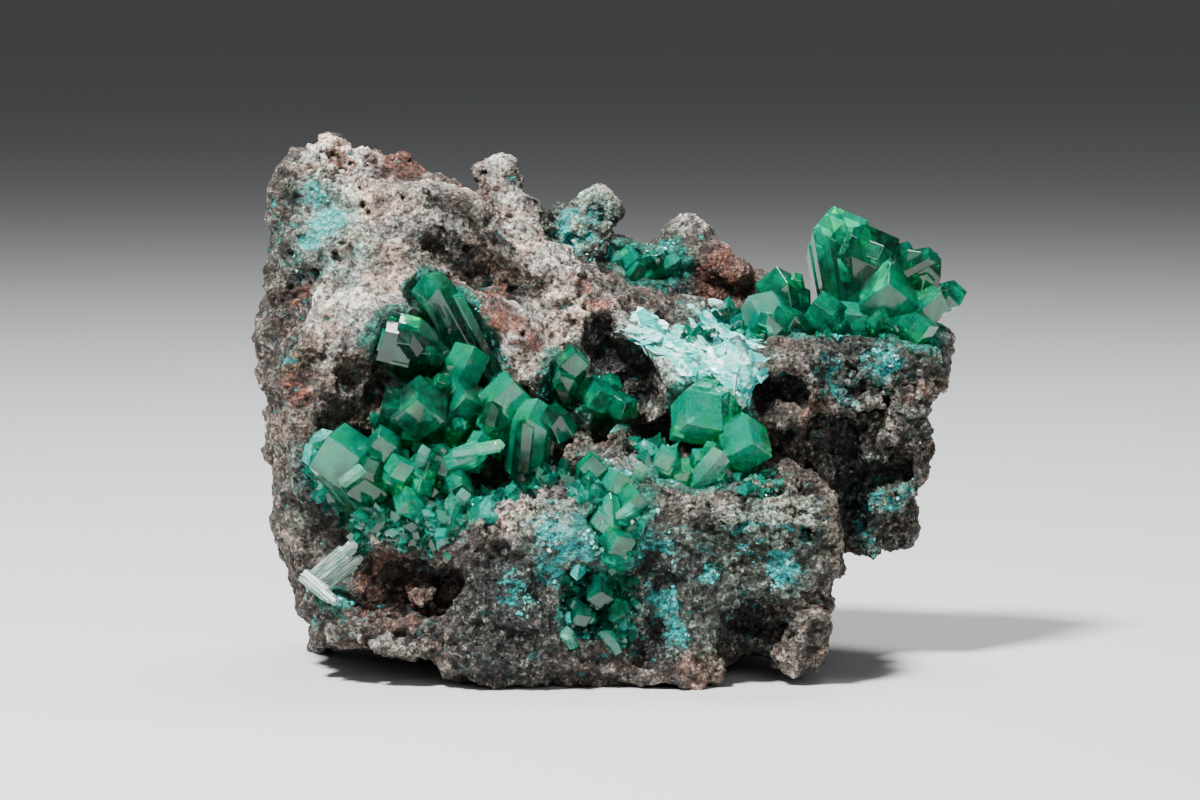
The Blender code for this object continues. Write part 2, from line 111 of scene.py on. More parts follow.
# A crystal: its tip, the way it points, its radius, its length and its turn about itself in degrees.
CRYSTALS = {
    "rim_crystals": [
        ((14.4, 8.4, 28.6), (-0.18, 0.10, 1.00), 2.15, 9.5, 10),
        ((16.3, 5.2, 27.6), (-0.10, -0.45, 0.90), 2.10, 8.0, 40),
        ((19.2, 7.2, 26.4), (0.35, 0.05, 0.95), 1.80, 7.0, 5),
        ((17.6, 2.4, 24.0), (-0.10, -0.85, 0.35), 2.20, 6.0, 0),
        ((20.3, 4.6, 26.2), (0.25, -0.25, 0.95), 1.35, 6.5, 20),
        ((21.0, 3.4, 23.4), (0.55, -0.60, 0.45), 1.50, 5.0, 0),
        ((22.9, 6.4, 23.2), (0.95, -0.10, 0.25), 1.00, 4.0, 15),
        ((20.2, 1.6, 21.4), (0.45, -0.80, 0.20), 1.15, 3.4, 30),
        ((12.9, 3.0, 22.8), (-0.50, -0.65, 0.55), 1.35, 4.5, 10),
        ((15.0, 3.6, 22.0), (-0.30, -0.80, 0.30), 1.30, 4.5, 35),
    ],
    "shoulder_crystals": [
        ((10.7, 5.5, 24.9), (-0.15, -0.10, 0.95), 1.55, 6.5, 15),
        ((8.8, 2.6, 23.2), (-0.55, -0.35, 0.76), 1.60, 5.5, 0),
        ((10.6, 2.0, 22.6), (-0.45, -0.45, 0.76), 1.20, 5.0, 30),
    ],
    "hollow_crystals": [
        ((-11.3, -3.2, 25.0), (-0.42, -0.35, 0.84), 1.35, 8.5, 12),
        ((-9.7, -2.8, 24.0), (-0.42, -0.30, 0.86), 0.60, 7.0, 0),
        ((-8.2, -4.6, 20.6), (0.35, -0.55, 0.75), 1.35, 5.0, 20),
        ((-13.6, -6.0, 21.6), (-0.45, -0.75, 0.45), 1.75, 6.0, 30),
        ((-11.6, -8.2, 17.6), (-0.05, -0.92, 0.35), 1.95, 6.0, 0),
        ((-13.8, -7.2, 17.2), (-0.55, -0.75, 0.30), 1.60, 5.0, 25),
        ((-8.7, -6.4, 17.6), (0.15, -0.90, 0.35), 1.90, 6.0, 12),
        ((-5.8, -6.4, 18.6), (0.25, -0.70, 0.66), 1.55, 5.0, 0),
        ((-4.3, -6.8, 17.6), (0.15, -0.40, 0.90), 1.35, 5.2, 20),
        ((-13.9, -8.2, 15.4), (-0.15, -0.85, 0.50), 1.15, 5.0, 8),
        ((-17.0, -7.8, 15.4), (-0.42, -0.60, 0.68), 2.10, 6.5, 15),
        ((-14.8, -8.4, 12.8), (-0.20, -0.90, 0.30), 1.50, 5.5, 0),
        ((-12.6, -9.0, 14.0), (0.10, -0.80, 0.55), 0.95, 4.0, 20),
        ((-10.8, -8.8, 14.0), (0.30, -0.80, 0.50), 1.00, 4.0, 40),
        ((-7.4, -8.4, 14.6), (0.80, -0.50, 0.35), 0.80, 4.2, 0),
        ((-12.0, -9.2, 11.6), (0.10, -0.90, 0.20), 1.00, 4.0, 10),
        ((-8.8, -9.0, 12.6), (0.25, -0.90, 0.15), 0.90, 4.0, 0),
    ],
    "lath_crystals": [
        ((-15.2, -7.6, 8.9), (0.66, -0.40, 0.58), 0.85, 4.8, 0),
        ((-14.9, -7.0, 8.0), (0.66, -0.35, 0.55), 0.60, 4.2, 30),
        ((-16.4, -7.4, 5.0), (0.70, -0.45, -0.50), 0.70, 3.2, 0),
    ],
    "chain_crystals": [
        ((-0.9, -7.6, 14.2), (0.10, -0.60, 0.76), 1.05, 4.0, 0),
        ((0.6, -8.2, 13.2), (0.10, -0.70, 0.70), 1.10, 4.0, 25),
        ((1.9, -8.8, 12.0), (0.45, -0.70, 0.50), 1.00, 3.6, 0),
        ((-0.6, -9.9, 11.0), (-0.20, -0.80, 0.50), 0.95, 3.4, 10),
        ((0.6, -10.6, 9.6), (0.10, -0.90, 0.35), 1.10, 3.6, 30),
    ],
    "vug_crystals": [
        ((4.8, -6.6, 16.0), (-0.30, -0.85, -0.10), 1.95, 5.5, 12),
        ((8.8, -7.4, 14.9), (0.25, -0.92, 0.10), 1.80, 5.5, 0),
        ((7.0, -7.8, 14.4), (0.50, -0.55, 0.65), 0.80, 3.6, 0),
        ((3.2, -7.2, 14.4), (-0.30, -0.70, 0.55), 0.90, 3.4, 20),
    ],
    "cleft_crystals": [
        ((-2.0, -4.4, 20.2), (0.20, -0.75, 0.60), 1.10, 4.0, 0),
        ((-2.9, -4.8, 18.8), (-0.20, -0.80, 0.45), 0.80, 3.6, 25),
        ((-0.5, -4.2, 17.8), (0.10, -0.90, 0.30), 1.20, 4.5, 20),
        ((1.1, -4.0, 17.0), (0.30, -0.85, 0.20), 1.00, 4.0, 45),
    ],
    "toe_crystals": [
        ((-0.4, -10.6, 6.2), (0.10, -0.95, 0.20), 0.95, 3.6, 0),
        ((-1.9, -10.6, 4.8), (-0.30, -0.90, 0.10), 0.80, 3.2, 20),
        ((1.0, -10.4, 4.8), (0.40, -0.85, -0.10), 0.80, 3.2, 10),
    ],
    "back_rim_crystals": [
        ((1.2, 9.2, 26.0), (-0.10, -0.55, 0.80), 0.95, 4.0, 0),
        ((2.0, 8.8, 24.9), (0.20, -0.80, 0.50), 0.95, 3.6, 20),
        ((4.9, 8.6, 25.4), (0.75, -0.45, 0.40), 0.75, 4.0, 0),
    ],
    "bowl_crystal": [
        ((2.8, 6.0, 22.8), (0.30, -0.60, 0.70), 0.85, 3.6, 0),
    ],
}

# Crystals with no lesser ones beside them.
LONE_CRYSTALS = CRYSTALS["hollow_crystals"][:2]
# How pale a crystal is, from 0, deep emerald, to 1, pale blue-green; some are paler as painted reflections of
# the lights on their faces, and the back rim's as painted light against their shade. The others draw theirs
# from a span.
PALE_AND_LIT_CRYSTALS = {
    (-9.7, -2.8, 24.0): 0.42,
    (-11.3, -3.2, 25.0): 0.3,
    (1.2, 9.2, 26.0): 0.6,
    (4.9, 8.6, 25.4): 0.66,
    (-7.4, -8.4, 14.6): 0.8,
    (-8.2, -4.6, 20.6): 0.55,
    (-12.6, -9.0, 14.0): 0.6,
    (-17.0, -7.8, 15.4): 0.55,
    (8.8, 2.6, 23.2): 0.92,
    (7.0, -7.8, 14.4): 1.0,
    (4.8, -6.6, 16.0): 0.76,
    (8.8, -7.4, 14.9): 0.66,
    (15.0, 3.6, 22.0): 0.66,
    (-5.8, -6.4, 18.6): 0.6,
    (-4.3, -6.8, 17.6): 0.62,
    (14.4, 8.4, 28.6): 0.5,
}
USUAL_TONES = (0.0, 0.5)
# The splinters' span of tones is painted glints.
GLINT_SPLINTER_TONES = (0.9, 1.0)
# The back rim's crystals draw paler tones, as painted light against their shade.
TONES = {
    "toe_crystals": (0.0, 0.22),
    "cleft_crystals": (0.0, 0.35),
    "back_rim_crystals": (0.3, 0.7),
    "chain_crystals": (0.2, 0.7),
    "vug_crystals": (0.3, 0.7),
}
# Small crystals in front of their clusters, painted pale as painted glints.
GLINT_SPLINTERS = {
    "hollow_crystals": [
        ((-14.8, -9.5, 13.6), (0.50, -0.60, 0.40), 0.42, 2.2, 0),
        ((-11.0, -9.8, 14.9), (0.20, -0.80, 0.60), 0.38, 2.0, 20),
        ((-8.6, -9.9, 12.3), (0.25, -0.70, 0.70), 0.45, 2.6, 10),
        ((-6.2, -9.4, 15.0), (0.90, -0.35, 0.20), 0.40, 3.4, 0),
    ],
    "toe_crystals": [((-2.6, -10.8, 3.9), (-0.20, -0.80, 0.50), 0.45, 2.0, 0)],
    "vug_crystals": [((2.2, -7.4, 13.6), (0.30, -0.60, 0.70), 0.40, 2.4, 0)],
    "chain_crystals": [((1.6, -10.2, 11.4), (0.70, -0.50, 0.50), 0.34, 2.2, 0)],
}
# Lesser crystals that close each crust between its large ones.
BETWEEN = {
    "rim_crystals": 26,
    "shoulder_crystals": 8,
    "hollow_crystals": 60,
    "chain_crystals": 22,
    "vug_crystals": 8,
    "cleft_crystals": 8,
    "toe_crystals": 10,
    "back_rim_crystals": 8,
}

# Rounded knobs on the back ridge and the tower's top: centre and radius of each lump.
LUMPS = [
    ((-8.1, 9.0, 30.9), 0.65), ((-6.3, 9.0, 31.2), 0.70), ((-7.0, 8.8, 31.5), 0.60),
    ((-5.9, 9.2, 30.2), 0.70), ((-6.8, 9.0, 29.8), 0.80), ((-6.1, 9.0, 28.5), 1.00),
    ((-5.3, 8.8, 27.1), 1.20), ((-7.3, 8.4, 30.0), 0.55), ((-0.6, 10.6, 29.0), 1.05),
    ((-1.6, 10.2, 28.3), 0.95), ((0.4, 10.6, 28.1), 0.85), ((-2.8, 10.4, 27.7), 1.05),
    ((-3.3, 9.2, 26.5), 0.75), ((-1.6, 9.0, 27.2), 1.00), ((-1.0, 9.0, 25.8), 1.10),
    ((-0.2, 8.8, 27.0), 0.70), ((5.1, 10.4, 26.9), 1.20), ((4.2, 10.2, 26.6), 0.95),
    ((6.0, 10.4, 26.4), 1.05), ((5.2, 9.4, 25.5), 1.25), ((6.9, 9.2, 25.0), 1.30), ((8.4, 9.0, 24.2), 1.10),
    ((3.4, 9.2, 25.4), 0.80), ((-17.6, 4.2, 32.7), 0.70), ((-17.0, 4.4, 32.4), 0.60),
    ((-18.4, 3.6, 31.9), 0.80), ((-15.6, 4.8, 32.0), 0.70), ((-12.9, 4.9, 31.5), 0.80),
]
# Broken blocks that stand out as ledges: centre, size along each axis, turn about x, y and z in degrees.
LEDGES = [
    ((-7.5, 9.0, 30.9), (2.6, 2.0, 0.8), (6, -8, 10)), ((-6.2, 8.8, 29.0), (2.2, 1.8, 0.7), (10, 12, -14)),
    ((-9.5, -1.1, 29.4), (3.9, 2.6, 1.3), (16, 14, -8)), ((-7.6, -1.0, 28.3), (1.5, 2.0, 1.9), (6, 32, 14)),
    ((-6.4, 1.0, 26.2), (2.0, 2.0, 0.9), (20, 38, 10)), ((-4.8, 0.6, 24.9), (1.9, 1.6, 0.8), (14, 30, -12)),
    ((11.2, 1.6, 20.6), (2.4, 2.4, 0.8), (16, 6, 12)), ((9.6, 0.4, 20.0), (1.6, 1.8, 0.7), (20, 18, -10)),
    ((11.4, -1.4, 16.2), (1.8, 1.6, 0.8), (18, -6, 20)), ((13.8, -0.4, 16.4), (2.0, 1.6, 0.9), (10, 12, -14)),
    ((16.2, 1.2, 16.6), (2.2, 1.5, 0.8), (16, -8, 10)), ((18.8, 1.4, 16.2), (1.8, 1.5, 0.9), (8, 14, -18)),
    ((16.8, 2.6, 13.2), (2.0, 1.6, 0.8), (20, 10, 12)), ((18.4, 3.0, 10.8), (1.7, 1.5, 0.8), (12, -14, 8)),
    ((6.2, -8.9, 10.7), (3.4, 1.8, 0.7), (16, 4, -6)), ((9.8, -9.6, 10.6), (2.8, 1.6, 0.7), (12, 8, 6)),
    ((12.4, -8.8, 10.2), (1.8, 1.6, 0.8), (14, 20, 16)), ((4.4, -8.2, 5.8), (1.4, 1.6, 1.0), (8, 20, 20)),
    ((-12.8, -7.9, 2.6), (3.4, 1.6, 0.7), (10, 8, -4)), ((-15.6, -7.2, 3.4), (2.2, 1.6, 0.7), (14, 14, -20)),
    ((-11.4, -6.4, 5.6), (1.8, 1.8, 1.0), (10, -16, 12)), ((-7.6, -9.8, 7.2), (2.4, 1.4, 1.0), (14, -10, 8)),
    ((-4.8, -10.0, 4.8), (2.0, 1.4, 1.1), (8, 14, -10)), ((-18.9, -3.2, 13.6), (1.2, 2.2, 1.0), (6, -12, 20)),
]
# The lumps and blocks as spots on the skin, where the coarse roughness spares them.
LUMP_SPOTS = [(centre, radius + 0.5, 1.0) for centre, radius in LUMPS]
LUMP_SPOTS += [(centre, 0.5 * max(size), 0.9) for centre, size, _ in LEDGES]
# Where the skin is an even crust with less crumb.
EVEN_SKIN = [
    ((-14.5, -3.6, 23.6), 4.2, 0.9), ((-16.6, 0.6, 27.6), 3.6, 0.7), ((-12.6, 0.6, 28.6), 2.6, 0.6),
    ((-5.6, -2.6, 21.4), 2.6, 0.8), ((5.6, -1.8, 19.8), 3.0, 1.0), ((7.4, 1.6, 21.2), 2.0, 0.8),
]
# Patches of the rock's skin: centre, radius and strength of each.
# Pale patches: whitish crust, and painted light on the tops of the tower and the knobs and in the shaded
# hollow under the cap ledge.
PALE_CRUST_AND_LIGHT = [
    ((-13.7, -4.1, 23.1), 3.4, 1.0), ((-16.5, -3.6, 23.3), 3.0, 0.9), ((-16.3, 0.8, 28.0), 3.6, 0.7),
    ((-12.0, 1.0, 29.6), 3.0, 0.6), ((-9.5, 0.2, 29.2), 2.0, 0.9), ((-14.5, -2.0, 25.6), 3.0, 0.7),
    ((-7.6, -2.6, 23.3), 2.2, 0.5), ((-5.4, -3.0, 21.4), 3.2, 1.0), ((-3.0, -1.6, 21.6), 3.2, 1.0),
    ((-1.0, 0.0, 23.0), 2.0, 0.7), ((5.7, -2.0, 19.2), 2.6, 1.0), ((4.5, -1.2, 20.7), 2.4, 1.0),
    ((8.1, -2.8, 18.3), 1.8, 0.9), ((7.7, 2.4, 21.1), 2.4, 0.8), ((2.2, -0.5, 21.4), 2.0, 0.8),
    ((10.4, -8.9, 11.0), 2.8, 0.5), ((8.0, -7.9, 11.5), 2.8, 0.5), ((12.2, -7.6, 11.6), 2.0, 0.4),
    ((-5.3, -8.8, 11.6), 3.0, 0.6), ((-8.6, -0.2, 26.0), 2.0, 0.75), ((-7.0, 0.6, 25.0), 1.6, 0.6),
    ((-2.5, -9.5, 10.8), 2.0, 0.6), ((-14.0, -7.6, 10.2), 2.2, 0.6), ((-15.5, -7.5, 3.0), 2.0, 0.35),
    ((-12.5, -8.0, 2.2), 2.4, 0.4), ((-1.1, 10.1, 28.5), 1.5, 0.5), ((-2.1, 9.7, 26.6), 1.8, 1.0),
    ((2.0, -5.0, 12.6), 2.4, 0.6), ((5.6, -8.0, 10.9), 2.0, 0.4), ((-18.6, -3.6, 13.0), 2.2, 0.4),
    ((-15.5, 4.5, 31.8), 2.6, 0.9), ((-17.6, 4.0, 32.4), 2.0, 0.9), ((-18.2, 2.4, 31.4), 1.8, 0.8),
    ((-7.2, 9.0, 31.0), 1.6, 0.75), ((-6.2, 9.0, 28.6), 2.0, 0.8), ((-0.8, 10.4, 28.8), 1.6, 0.8),
    ((5.1, 10.2, 26.8), 1.6, 0.5), ((17.0, 1.4, 17.2), 1.6, 0.45), ((15.0, 1.2, 16.0), 1.3, 0.65),
    ((17.2, 1.6, 15.2), 1.3, 0.6), ((18.6, 1.6, 13.0), 1.6, 0.3), ((17.6, 2.6, 9.6), 1.8, 0.35),
    ((-4.0, 4.0, 26.0), 2.6, 0.75), ((-15.0, 16.0, 20.0), 5.0, 0.6), ((0.0, 16.6, 14.0), 5.0, 0.5),
    ((12.0, 15.6, 20.0), 3.4, 0.6), ((-3.9, 1.1, 26.2), 2.2, 0.8), ((-4.9, 2.3, 27.0), 2.2, 0.8),
    ((-5.6, 6.6, 27.8), 2.0, 0.7), ((-2.6, 0.6, 24.8), 1.6, 0.6), ((-10.6, 2.4, 30.2), 2.2, 0.7),
    ((-13.6, 3.6, 31.2), 1.6, 0.6),
]
VERDIGRIS = [
    ((-18.6, 1.2, 29.6), 1.0, 0.7), ((-17.5, 0.1, 28.2), 1.2, 1.0), ((-18.4, -0.4, 26.9), 0.9, 0.9),
    ((-19.2, 0.0, 25.5), 0.9, 0.6), ((-20.8, 1.6, 27.4), 1.6, 0.45), ((-19.7, -3.2, 19.6), 0.8, 0.9),
    ((5.7, -2.0, 19.8), 1.8, 0.8), ((7.8, -1.5, 19.6), 1.6, 1.0), ((3.0, -0.8, 21.2), 1.4, 0.8),
    ((6.9, 1.4, 21.3), 1.8, 0.9), ((-2.1, 9.7, 26.6), 1.9, 1.0), ((-2.9, -10.2, 9.8), 1.7, 0.7),
    ((-1.6, -10.2, 9.4), 1.4, 0.9), ((-5.6, -10.2, 6.2), 1.2, 0.7), ((-3.4, -10.2, 7.6), 1.5, 0.7),
    ((2.9, -8.9, 8.8), 1.1, 0.8), ((10.6, -8.9, 7.4), 1.1, 1.0), ((6.3, -8.4, 6.9), 0.7, 0.8),
    ((3.4, -7.9, 5.2), 1.0, 1.0), ((4.0, -8.0, 3.4), 0.9, 1.0), ((2.2, -8.3, 6.0), 0.8, 0.6),
    ((13.6, 0.2, 18.6), 1.4, 0.6), ((14.6, 0.8, 17.0), 1.0, 0.7), ((17.2, 1.8, 19.0), 1.4, 0.8),
    ((17.6, 1.2, 10.9), 1.5, 0.7), ((16.2, 3.0, 7.8), 1.5, 0.5), ((21.4, 2.6, 20.6), 1.4, 0.8),
    ((-18.9, -4.0, 6.0), 0.9, 1.0), ((-18.6, -4.5, 4.0), 0.8, 0.8), ((-18.0, -5.0, 9.5), 1.4, 0.8),
    ((-18.6, -5.0, 12.5), 1.3, 0.9), ((3.4, -5.0, 14.6), 1.4, 1.0), ((3.0, 9.0, 24.6), 2.0, 0.5),
    ((9.2, -9.0, 9.2), 1.6, 0.5), ((11.8, -8.6, 9.8), 1.2, 0.6), ((-7.0, 16.4, 18.0), 2.4, 0.8),
    ((9.0, 16.0, 17.0), 2.0, 0.8), ((-14.0, 15.6, 24.0), 2.2, 0.7), ((1.0, 16.6, 8.0), 2.2, 0.6),
]
# Where a thin greenish film dulls the rock, beyond the stains themselves.
FILM = [(centre, 1.9 * radius, strength) for centre, radius, strength in VERDIGRIS]
FILM += [
    ((5.6, -8.4, 6.4), 4.6, 0.8), ((10.2, -8.4, 9.6), 4.0, 0.75), ((-3.6, -10.0, 7.4), 3.4, 0.6),
    ((16.6, 2.4, 10.4), 3.4, 0.7), ((-17.4, -1.4, 26.0), 3.4, 0.55), ((7.4, 1.0, 20.6), 3.0, 0.7),
    ((18.4, 2.0, 17.0), 2.4, 0.5), ((-18.6, -4.0, 11.0), 3.0, 0.6),
]
RUST = [
    ((-12.8, 4.5, 31.3), 2.0, 1.0), ((-15.5, 4.5, 31.6), 1.2, 0.45), ((-17.0, 3.5, 31.6), 1.4, 0.4),
    ((-7.6, -2.6, 23.6), 1.6, 0.9), ((-6.6, -2.0, 22.6), 1.2, 0.8), ((-5.0, -2.6, 22.4), 1.3, 0.6),
    ((-4.4, -2.0, 21.8), 1.0, 0.6), ((-3.6, -1.6, 23.0), 1.0, 0.5), ((-1.5, -0.6, 23.5), 0.6, 0.8),
    ((-19.6, -1.2, 23.0), 1.0, 0.9), ((-19.4, -3.8, 19.0), 1.4, 0.9), ((-19.0, -4.2, 17.4), 1.1, 0.8),
    ((-19.3, -3.9, 15.2), 1.4, 0.5), ((7.4, 9.2, 24.0), 2.6, 0.8), ((4.0, 9.4, 25.6), 1.4, 0.4),
    ((4.4, 9.0, 25.6), 1.0, 0.5), ((13.5, -0.8, 17.0), 1.2, 0.5), ((12.9, -2.0, 16.2), 1.3, 0.7),
    ((19.4, 1.6, 17.0), 1.3, 0.6), ((-13.0, -5.2, 6.0), 3.2, 0.7), ((-12.6, -6.0, 4.0), 3.0, 0.6),
    ((-15.0, -6.6, 4.6), 1.6, 0.5), ((0.9, -8.6, 3.4), 0.8, 0.7), ((1.4, -3.6, 14.4), 1.8, 0.4),
    ((-8.2, -2.7, 23.3), 1.2, 1.0), ((-6.7, -3.1, 22.1), 1.1, 1.0), ((-5.4, -3.2, 20.8), 0.9, 0.8),
    ((-3.9, -1.9, 21.4), 0.8, 0.7), ((-0.5, 0.3, 23.1), 1.0, 0.8), ((-7.6, 9.0, 31.4), 1.2, 0.55),
    ((-7.4, 9.0, 30.2), 1.0, 0.45), ((-1.4, 10.4, 28.4), 1.4, 0.35), ((5.0, 10.2, 26.4), 1.2, 0.3),
    ((-6.0, 0.4, 25.6), 2.0, 0.5), ((-4.6, 0.8, 24.4), 1.8, 0.45), ((-12.0, 16.4, 12.0), 4.0, 0.5),
    ((6.0, 16.6, 10.0), 4.0, 0.5), ((-2.0, 16.4, 22.0), 3.2, 0.5), ((-17.5, 4.4, 32.3), 0.9, 0.8),
    ((-16.5, 3.7, 31.5), 0.9, 0.8), ((-15.8, 3.1, 30.9), 1.0, 0.7), ((-14.9, 4.2, 31.7), 1.0, 0.7),
    ((-6.4, -2.3, 22.9), 0.9, 0.95), ((-5.4, -2.7, 21.9), 1.0, 0.95), ((-4.6, -2.8, 20.7), 0.9, 0.9),
    ((-6.9, 0.0, 23.7), 1.0, 0.8), ((-1.5, 0.7, 24.0), 0.8, 0.9), ((-2.6, 0.5, 24.6), 0.8, 0.6),
    ((-19.2, -1.0, 23.7), 1.0, 0.8),
]
# Dark patches: partly dark stone, partly painted shade in the hollows and under the cap ledge.
DARK_STONE_AND_SHADE = [
    ((-8.3, 0.2, 27.0), 0.9, 0.25), ((-0.5, 1.1, 21.1), 1.6, 1.0), ((1.0, 0.8, 19.6), 2.4, 1.0),
    ((1.1, 1.5, 18.2), 2.4, 1.0), ((-1.6, -1.0, 19.0), 1.6, 0.7), ((10.7, 0.6, 18.1), 1.8, 1.0),
    ((15.9, 2.3, 15.4), 3.4, 0.75), ((14.6, 3.0, 13.0), 3.4, 0.9), ((18.6, 1.2, 14.9), 2.6, 0.6),
    ((15.3, 3.9, 10.1), 2.8, 0.9), ((17.1, 1.5, 17.7), 1.6, 0.6), ((18.6, 4.9, 7.1), 1.6, 0.8),
    ((13.4, 3.0, 20.5), 2.5, 0.9), ((-6.5, -10.2, 5.7), 3.6, 1.0), ((-6.5, -10.2, 2.6), 3.4, 1.0),
    ((-8.6, -9.6, 9.4), 1.4, 0.6), ((-10.2, -9.4, 8.0), 1.6, 0.6), ((-3.0, -9.8, 4.0), 2.4, 0.85),
    ((-12.0, -5.0, 6.2), 3.0, 0.6), ((1.9, -8.9, 7.9), 2.2, 0.9), ((3.8, -8.6, 8.0), 2.4, 0.8),
    ((8.4, -5.9, 4.6), 2.8, 0.9), ((9.0, -5.5, 2.9), 2.4, 0.9), ((2.9, -7.4, 2.5), 1.8, 1.0),
    ((12.4, -8.9, 9.0), 0.9, 0.8), ((-0.5, -7.5, 4.6), 2.8, 0.9), ((6.4, -8.2, 6.4), 1.6, 0.6),
    ((-4.2, -9.6, 0.8), 1.6, 0.8), ((-18.6, 3.5, 0.8), 3.0, 1.0), ((-16.3, -2.9, 12.1), 3.5, 0.8),
    ((16.4, 3.4, 19.6), 2.6, 0.7), ((4.4, 8.9, 23.2), 1.4, 0.9),
]
GRANULAR = [
    ((10.4, -8.9, 11.0), 4.0, 1.0), ((8.0, -7.9, 11.5), 4.0, 1.0), ((-5.3, -8.8, 11.6), 3.5, 1.0),
    ((-17.0, 3.6, 31.8), 3.0, 0.9), ((17.0, 2.0, 16.0), 6.0, 1.0), ((17.0, 3.0, 10.0), 5.0, 1.0),
    ((1.4, -3.0, 14.8), 3.0, 1.0), ((-2.0, -3.7, 16.0), 2.0, 1.0), ((-8.0, -9.0, 8.0), 4.0, 0.7),
    ((-14.0, -7.0, 9.8), 2.4, 0.9), ((10.0, -8.0, 5.0), 4.0, 0.8), ((-2.0, 10.0, 27.0), 3.0, 0.7),
    ((-6.0, -10.0, 4.0), 4.0, 0.6), ((-13.0, -6.0, 4.5), 3.5, 0.8),
]
PITTED = [
    ((-15.0, 3.0, 31.0), 4.4, 1.0), ((-5.0, -2.0, 22.0), 4.6, 0.8), ((-8.6, 0.0, 28.4), 2.6, 0.8),
    ((-18.0, -1.0, 26.0), 3.6, 0.6), ((-2.6, 0.0, 23.4), 3.6, 0.8), ((12.8, -7.6, 10.8), 2.4, 0.8),
    ((-6.6, 9.0, 28.0), 3.4, 0.7), ((15.0, 1.0, 15.0), 6.0, 0.8),
]
# Thin bright sheets that lie over each other on the rock.
SHEETS = [
    ((5.7, -2.0, 19.4), 2.0, 1.0), ((4.3, -1.2, 20.7), 1.6, 1.0), ((8.0, -2.4, 18.6), 1.6, 1.0),
    ((2.6, -0.6, 21.3), 1.3, 0.8), ((7.4, 1.8, 21.2), 1.8, 0.9), ((9.2, 1.0, 20.8), 1.2, 0.6),
    ((-2.1, 9.5, 26.8), 1.0, 0.2), ((3.4, -5.2, 14.4), 1.0, 0.8),
]
# Where small crystals crowd on the rock between the large ones.
DRUSE = [
    ((-15.0, -6.0, 12.6), 3.4, 1.0), ((-11.0, -7.4, 12.4), 3.6, 1.0), ((-7.6, -6.6, 13.6), 2.6, 1.0),
    ((-9.0, -8.4, 11.4), 2.0, 0.8), ((-17.6, -5.4, 10.4), 1.8, 0.9), ((-4.4, -5.6, 13.6), 1.8, 0.8),
    ((-1.0, -8.4, 12.6), 1.4, 0.9), ((0.6, -9.4, 11.0), 1.5, 0.9), ((0.2, -10.0, 9.0), 1.0, 0.7),
    ((-0.6, -8.4, 5.4), 2.2, 0.6), ((0.6, -8.0, 3.4), 1.4, 0.3), ((-1.0, -3.2, 18.4), 1.8, 1.0),
    ((3.4, -4.6, 14.6), 1.6, 0.9), ((6.6, -5.4, 13.6), 2.0, 0.7), ((3.0, 8.6, 25.0), 1.2, 0.25),
    ((8.6, 2.0, 21.6), 1.6, 0.7), ((5.6, 0.0, 20.8), 1.4, 0.3), ((17.4, 3.4, 22.0), 1.6, 0.5),
    ((21.4, 3.4, 21.4), 1.0, 0.35), ((13.6, 2.6, 21.2), 1.0, 0.35), ((9.4, -7.6, 12.6), 1.2, 0.4),
]

# The patches that the rock's material reads from its vertices, by name.
PATCHES = {"pale": PALE_CRUST_AND_LIGHT, "verdigris": VERDIGRIS, "film": FILM, "rust": RUST, "dark_and_shade": DARK_STONE_AND_SHADE}


def place(point):
    """A place of the layout, in metres from the point under the specimen's middle."""
    return (np.array(point, float) - MIDDLE) * MM


def pick(piece):
    """Selects one piece alone and makes it the active one."""
    bpy.ops.object.select_all(action="DESELECT")
    piece.select_set(True)
    bpy.context.view_layer.objects.active = piece


def apply_modifier(piece, kind, **settings):
    modifier = piece.modifiers.new(kind.lower(), kind)
    for name, value in settings.items():
        setattr(modifier, name, value)
    pick(piece)
    bpy.ops.object.modifier_apply(modifier=modifier.name)


def remesh(piece, voxel):
    apply_modifier(piece, "REMESH", mode="VOXEL", voxel_size=voxel * MM)


def coordinates(mesh):
    flat = np.empty(len(mesh.vertices) * 3, np.float32)
    mesh.vertices.foreach_get("co", flat)
    return flat.reshape(-1, 3).astype(float)


def spot_weights(points, spots):
    """How strongly each point lies in any of the spots: full up to half a radius, gone at 1.5 radii."""
    strongest = np.zeros(len(points))
    for centre, radius, strength in spots:
        away = np.linalg.norm(points - place(centre), axis=1) / (radius * MM)
        fall = np.clip(1.5 - away, 0.0, 1.0)
        strongest = np.maximum(strongest, strength * fall * fall * (3.0 - 2.0 * fall))
    return strongest


def drift(points, scale, level):
    """Soft blotches from 0 to 1, in features of about a millimetre where scale is 1000."""
    raw = []
    for point in points:
        coarse = noise.noise(Vector(point) * scale)
        raw.append(coarse + 0.5 * noise.noise(Vector(point) * 2.9 * scale))
    return np.clip((np.array(raw) + level) * 3.0, 0.0, 1.0)


def weigh(piece, name, weights, steps=16):
    """A vertex group with a weight for each vertex, rounded to so many steps."""
    group = piece.vertex_groups.get(name) or piece.vertex_groups.new(name=name)
    rounded = np.round(weights * steps).astype(int)
    for step in range(1, steps + 1):
        inside = np.flatnonzero(rounded == step)
        if len(inside):
            group.add(inside.tolist(), step / steps, "REPLACE")


def crystal_distance(points, spare=0.0):
    """How far each point is from the nearest crystal's prism and its spare room, in mm: 0 or less inside."""
    nearest = np.full(len(points), np.inf)
    for shapes in CRYSTALS.values():
        for tip, way, radius, length, _ in shapes:
            axis = np.array(way) / np.linalg.norm(way)
            offset = (points - place(tip)) / MM
            along = offset @ axis
            across = np.linalg.norm(offset - np.outer(along, axis), axis=1)
            beyond = np.maximum(np.maximum(along + 0.5 * across, -length - along), 0.0)
            nearest = np.minimum(nearest, np.hypot(beyond, np.maximum(across - radius, 0.0)) - spare)
    return nearest


# Looks.


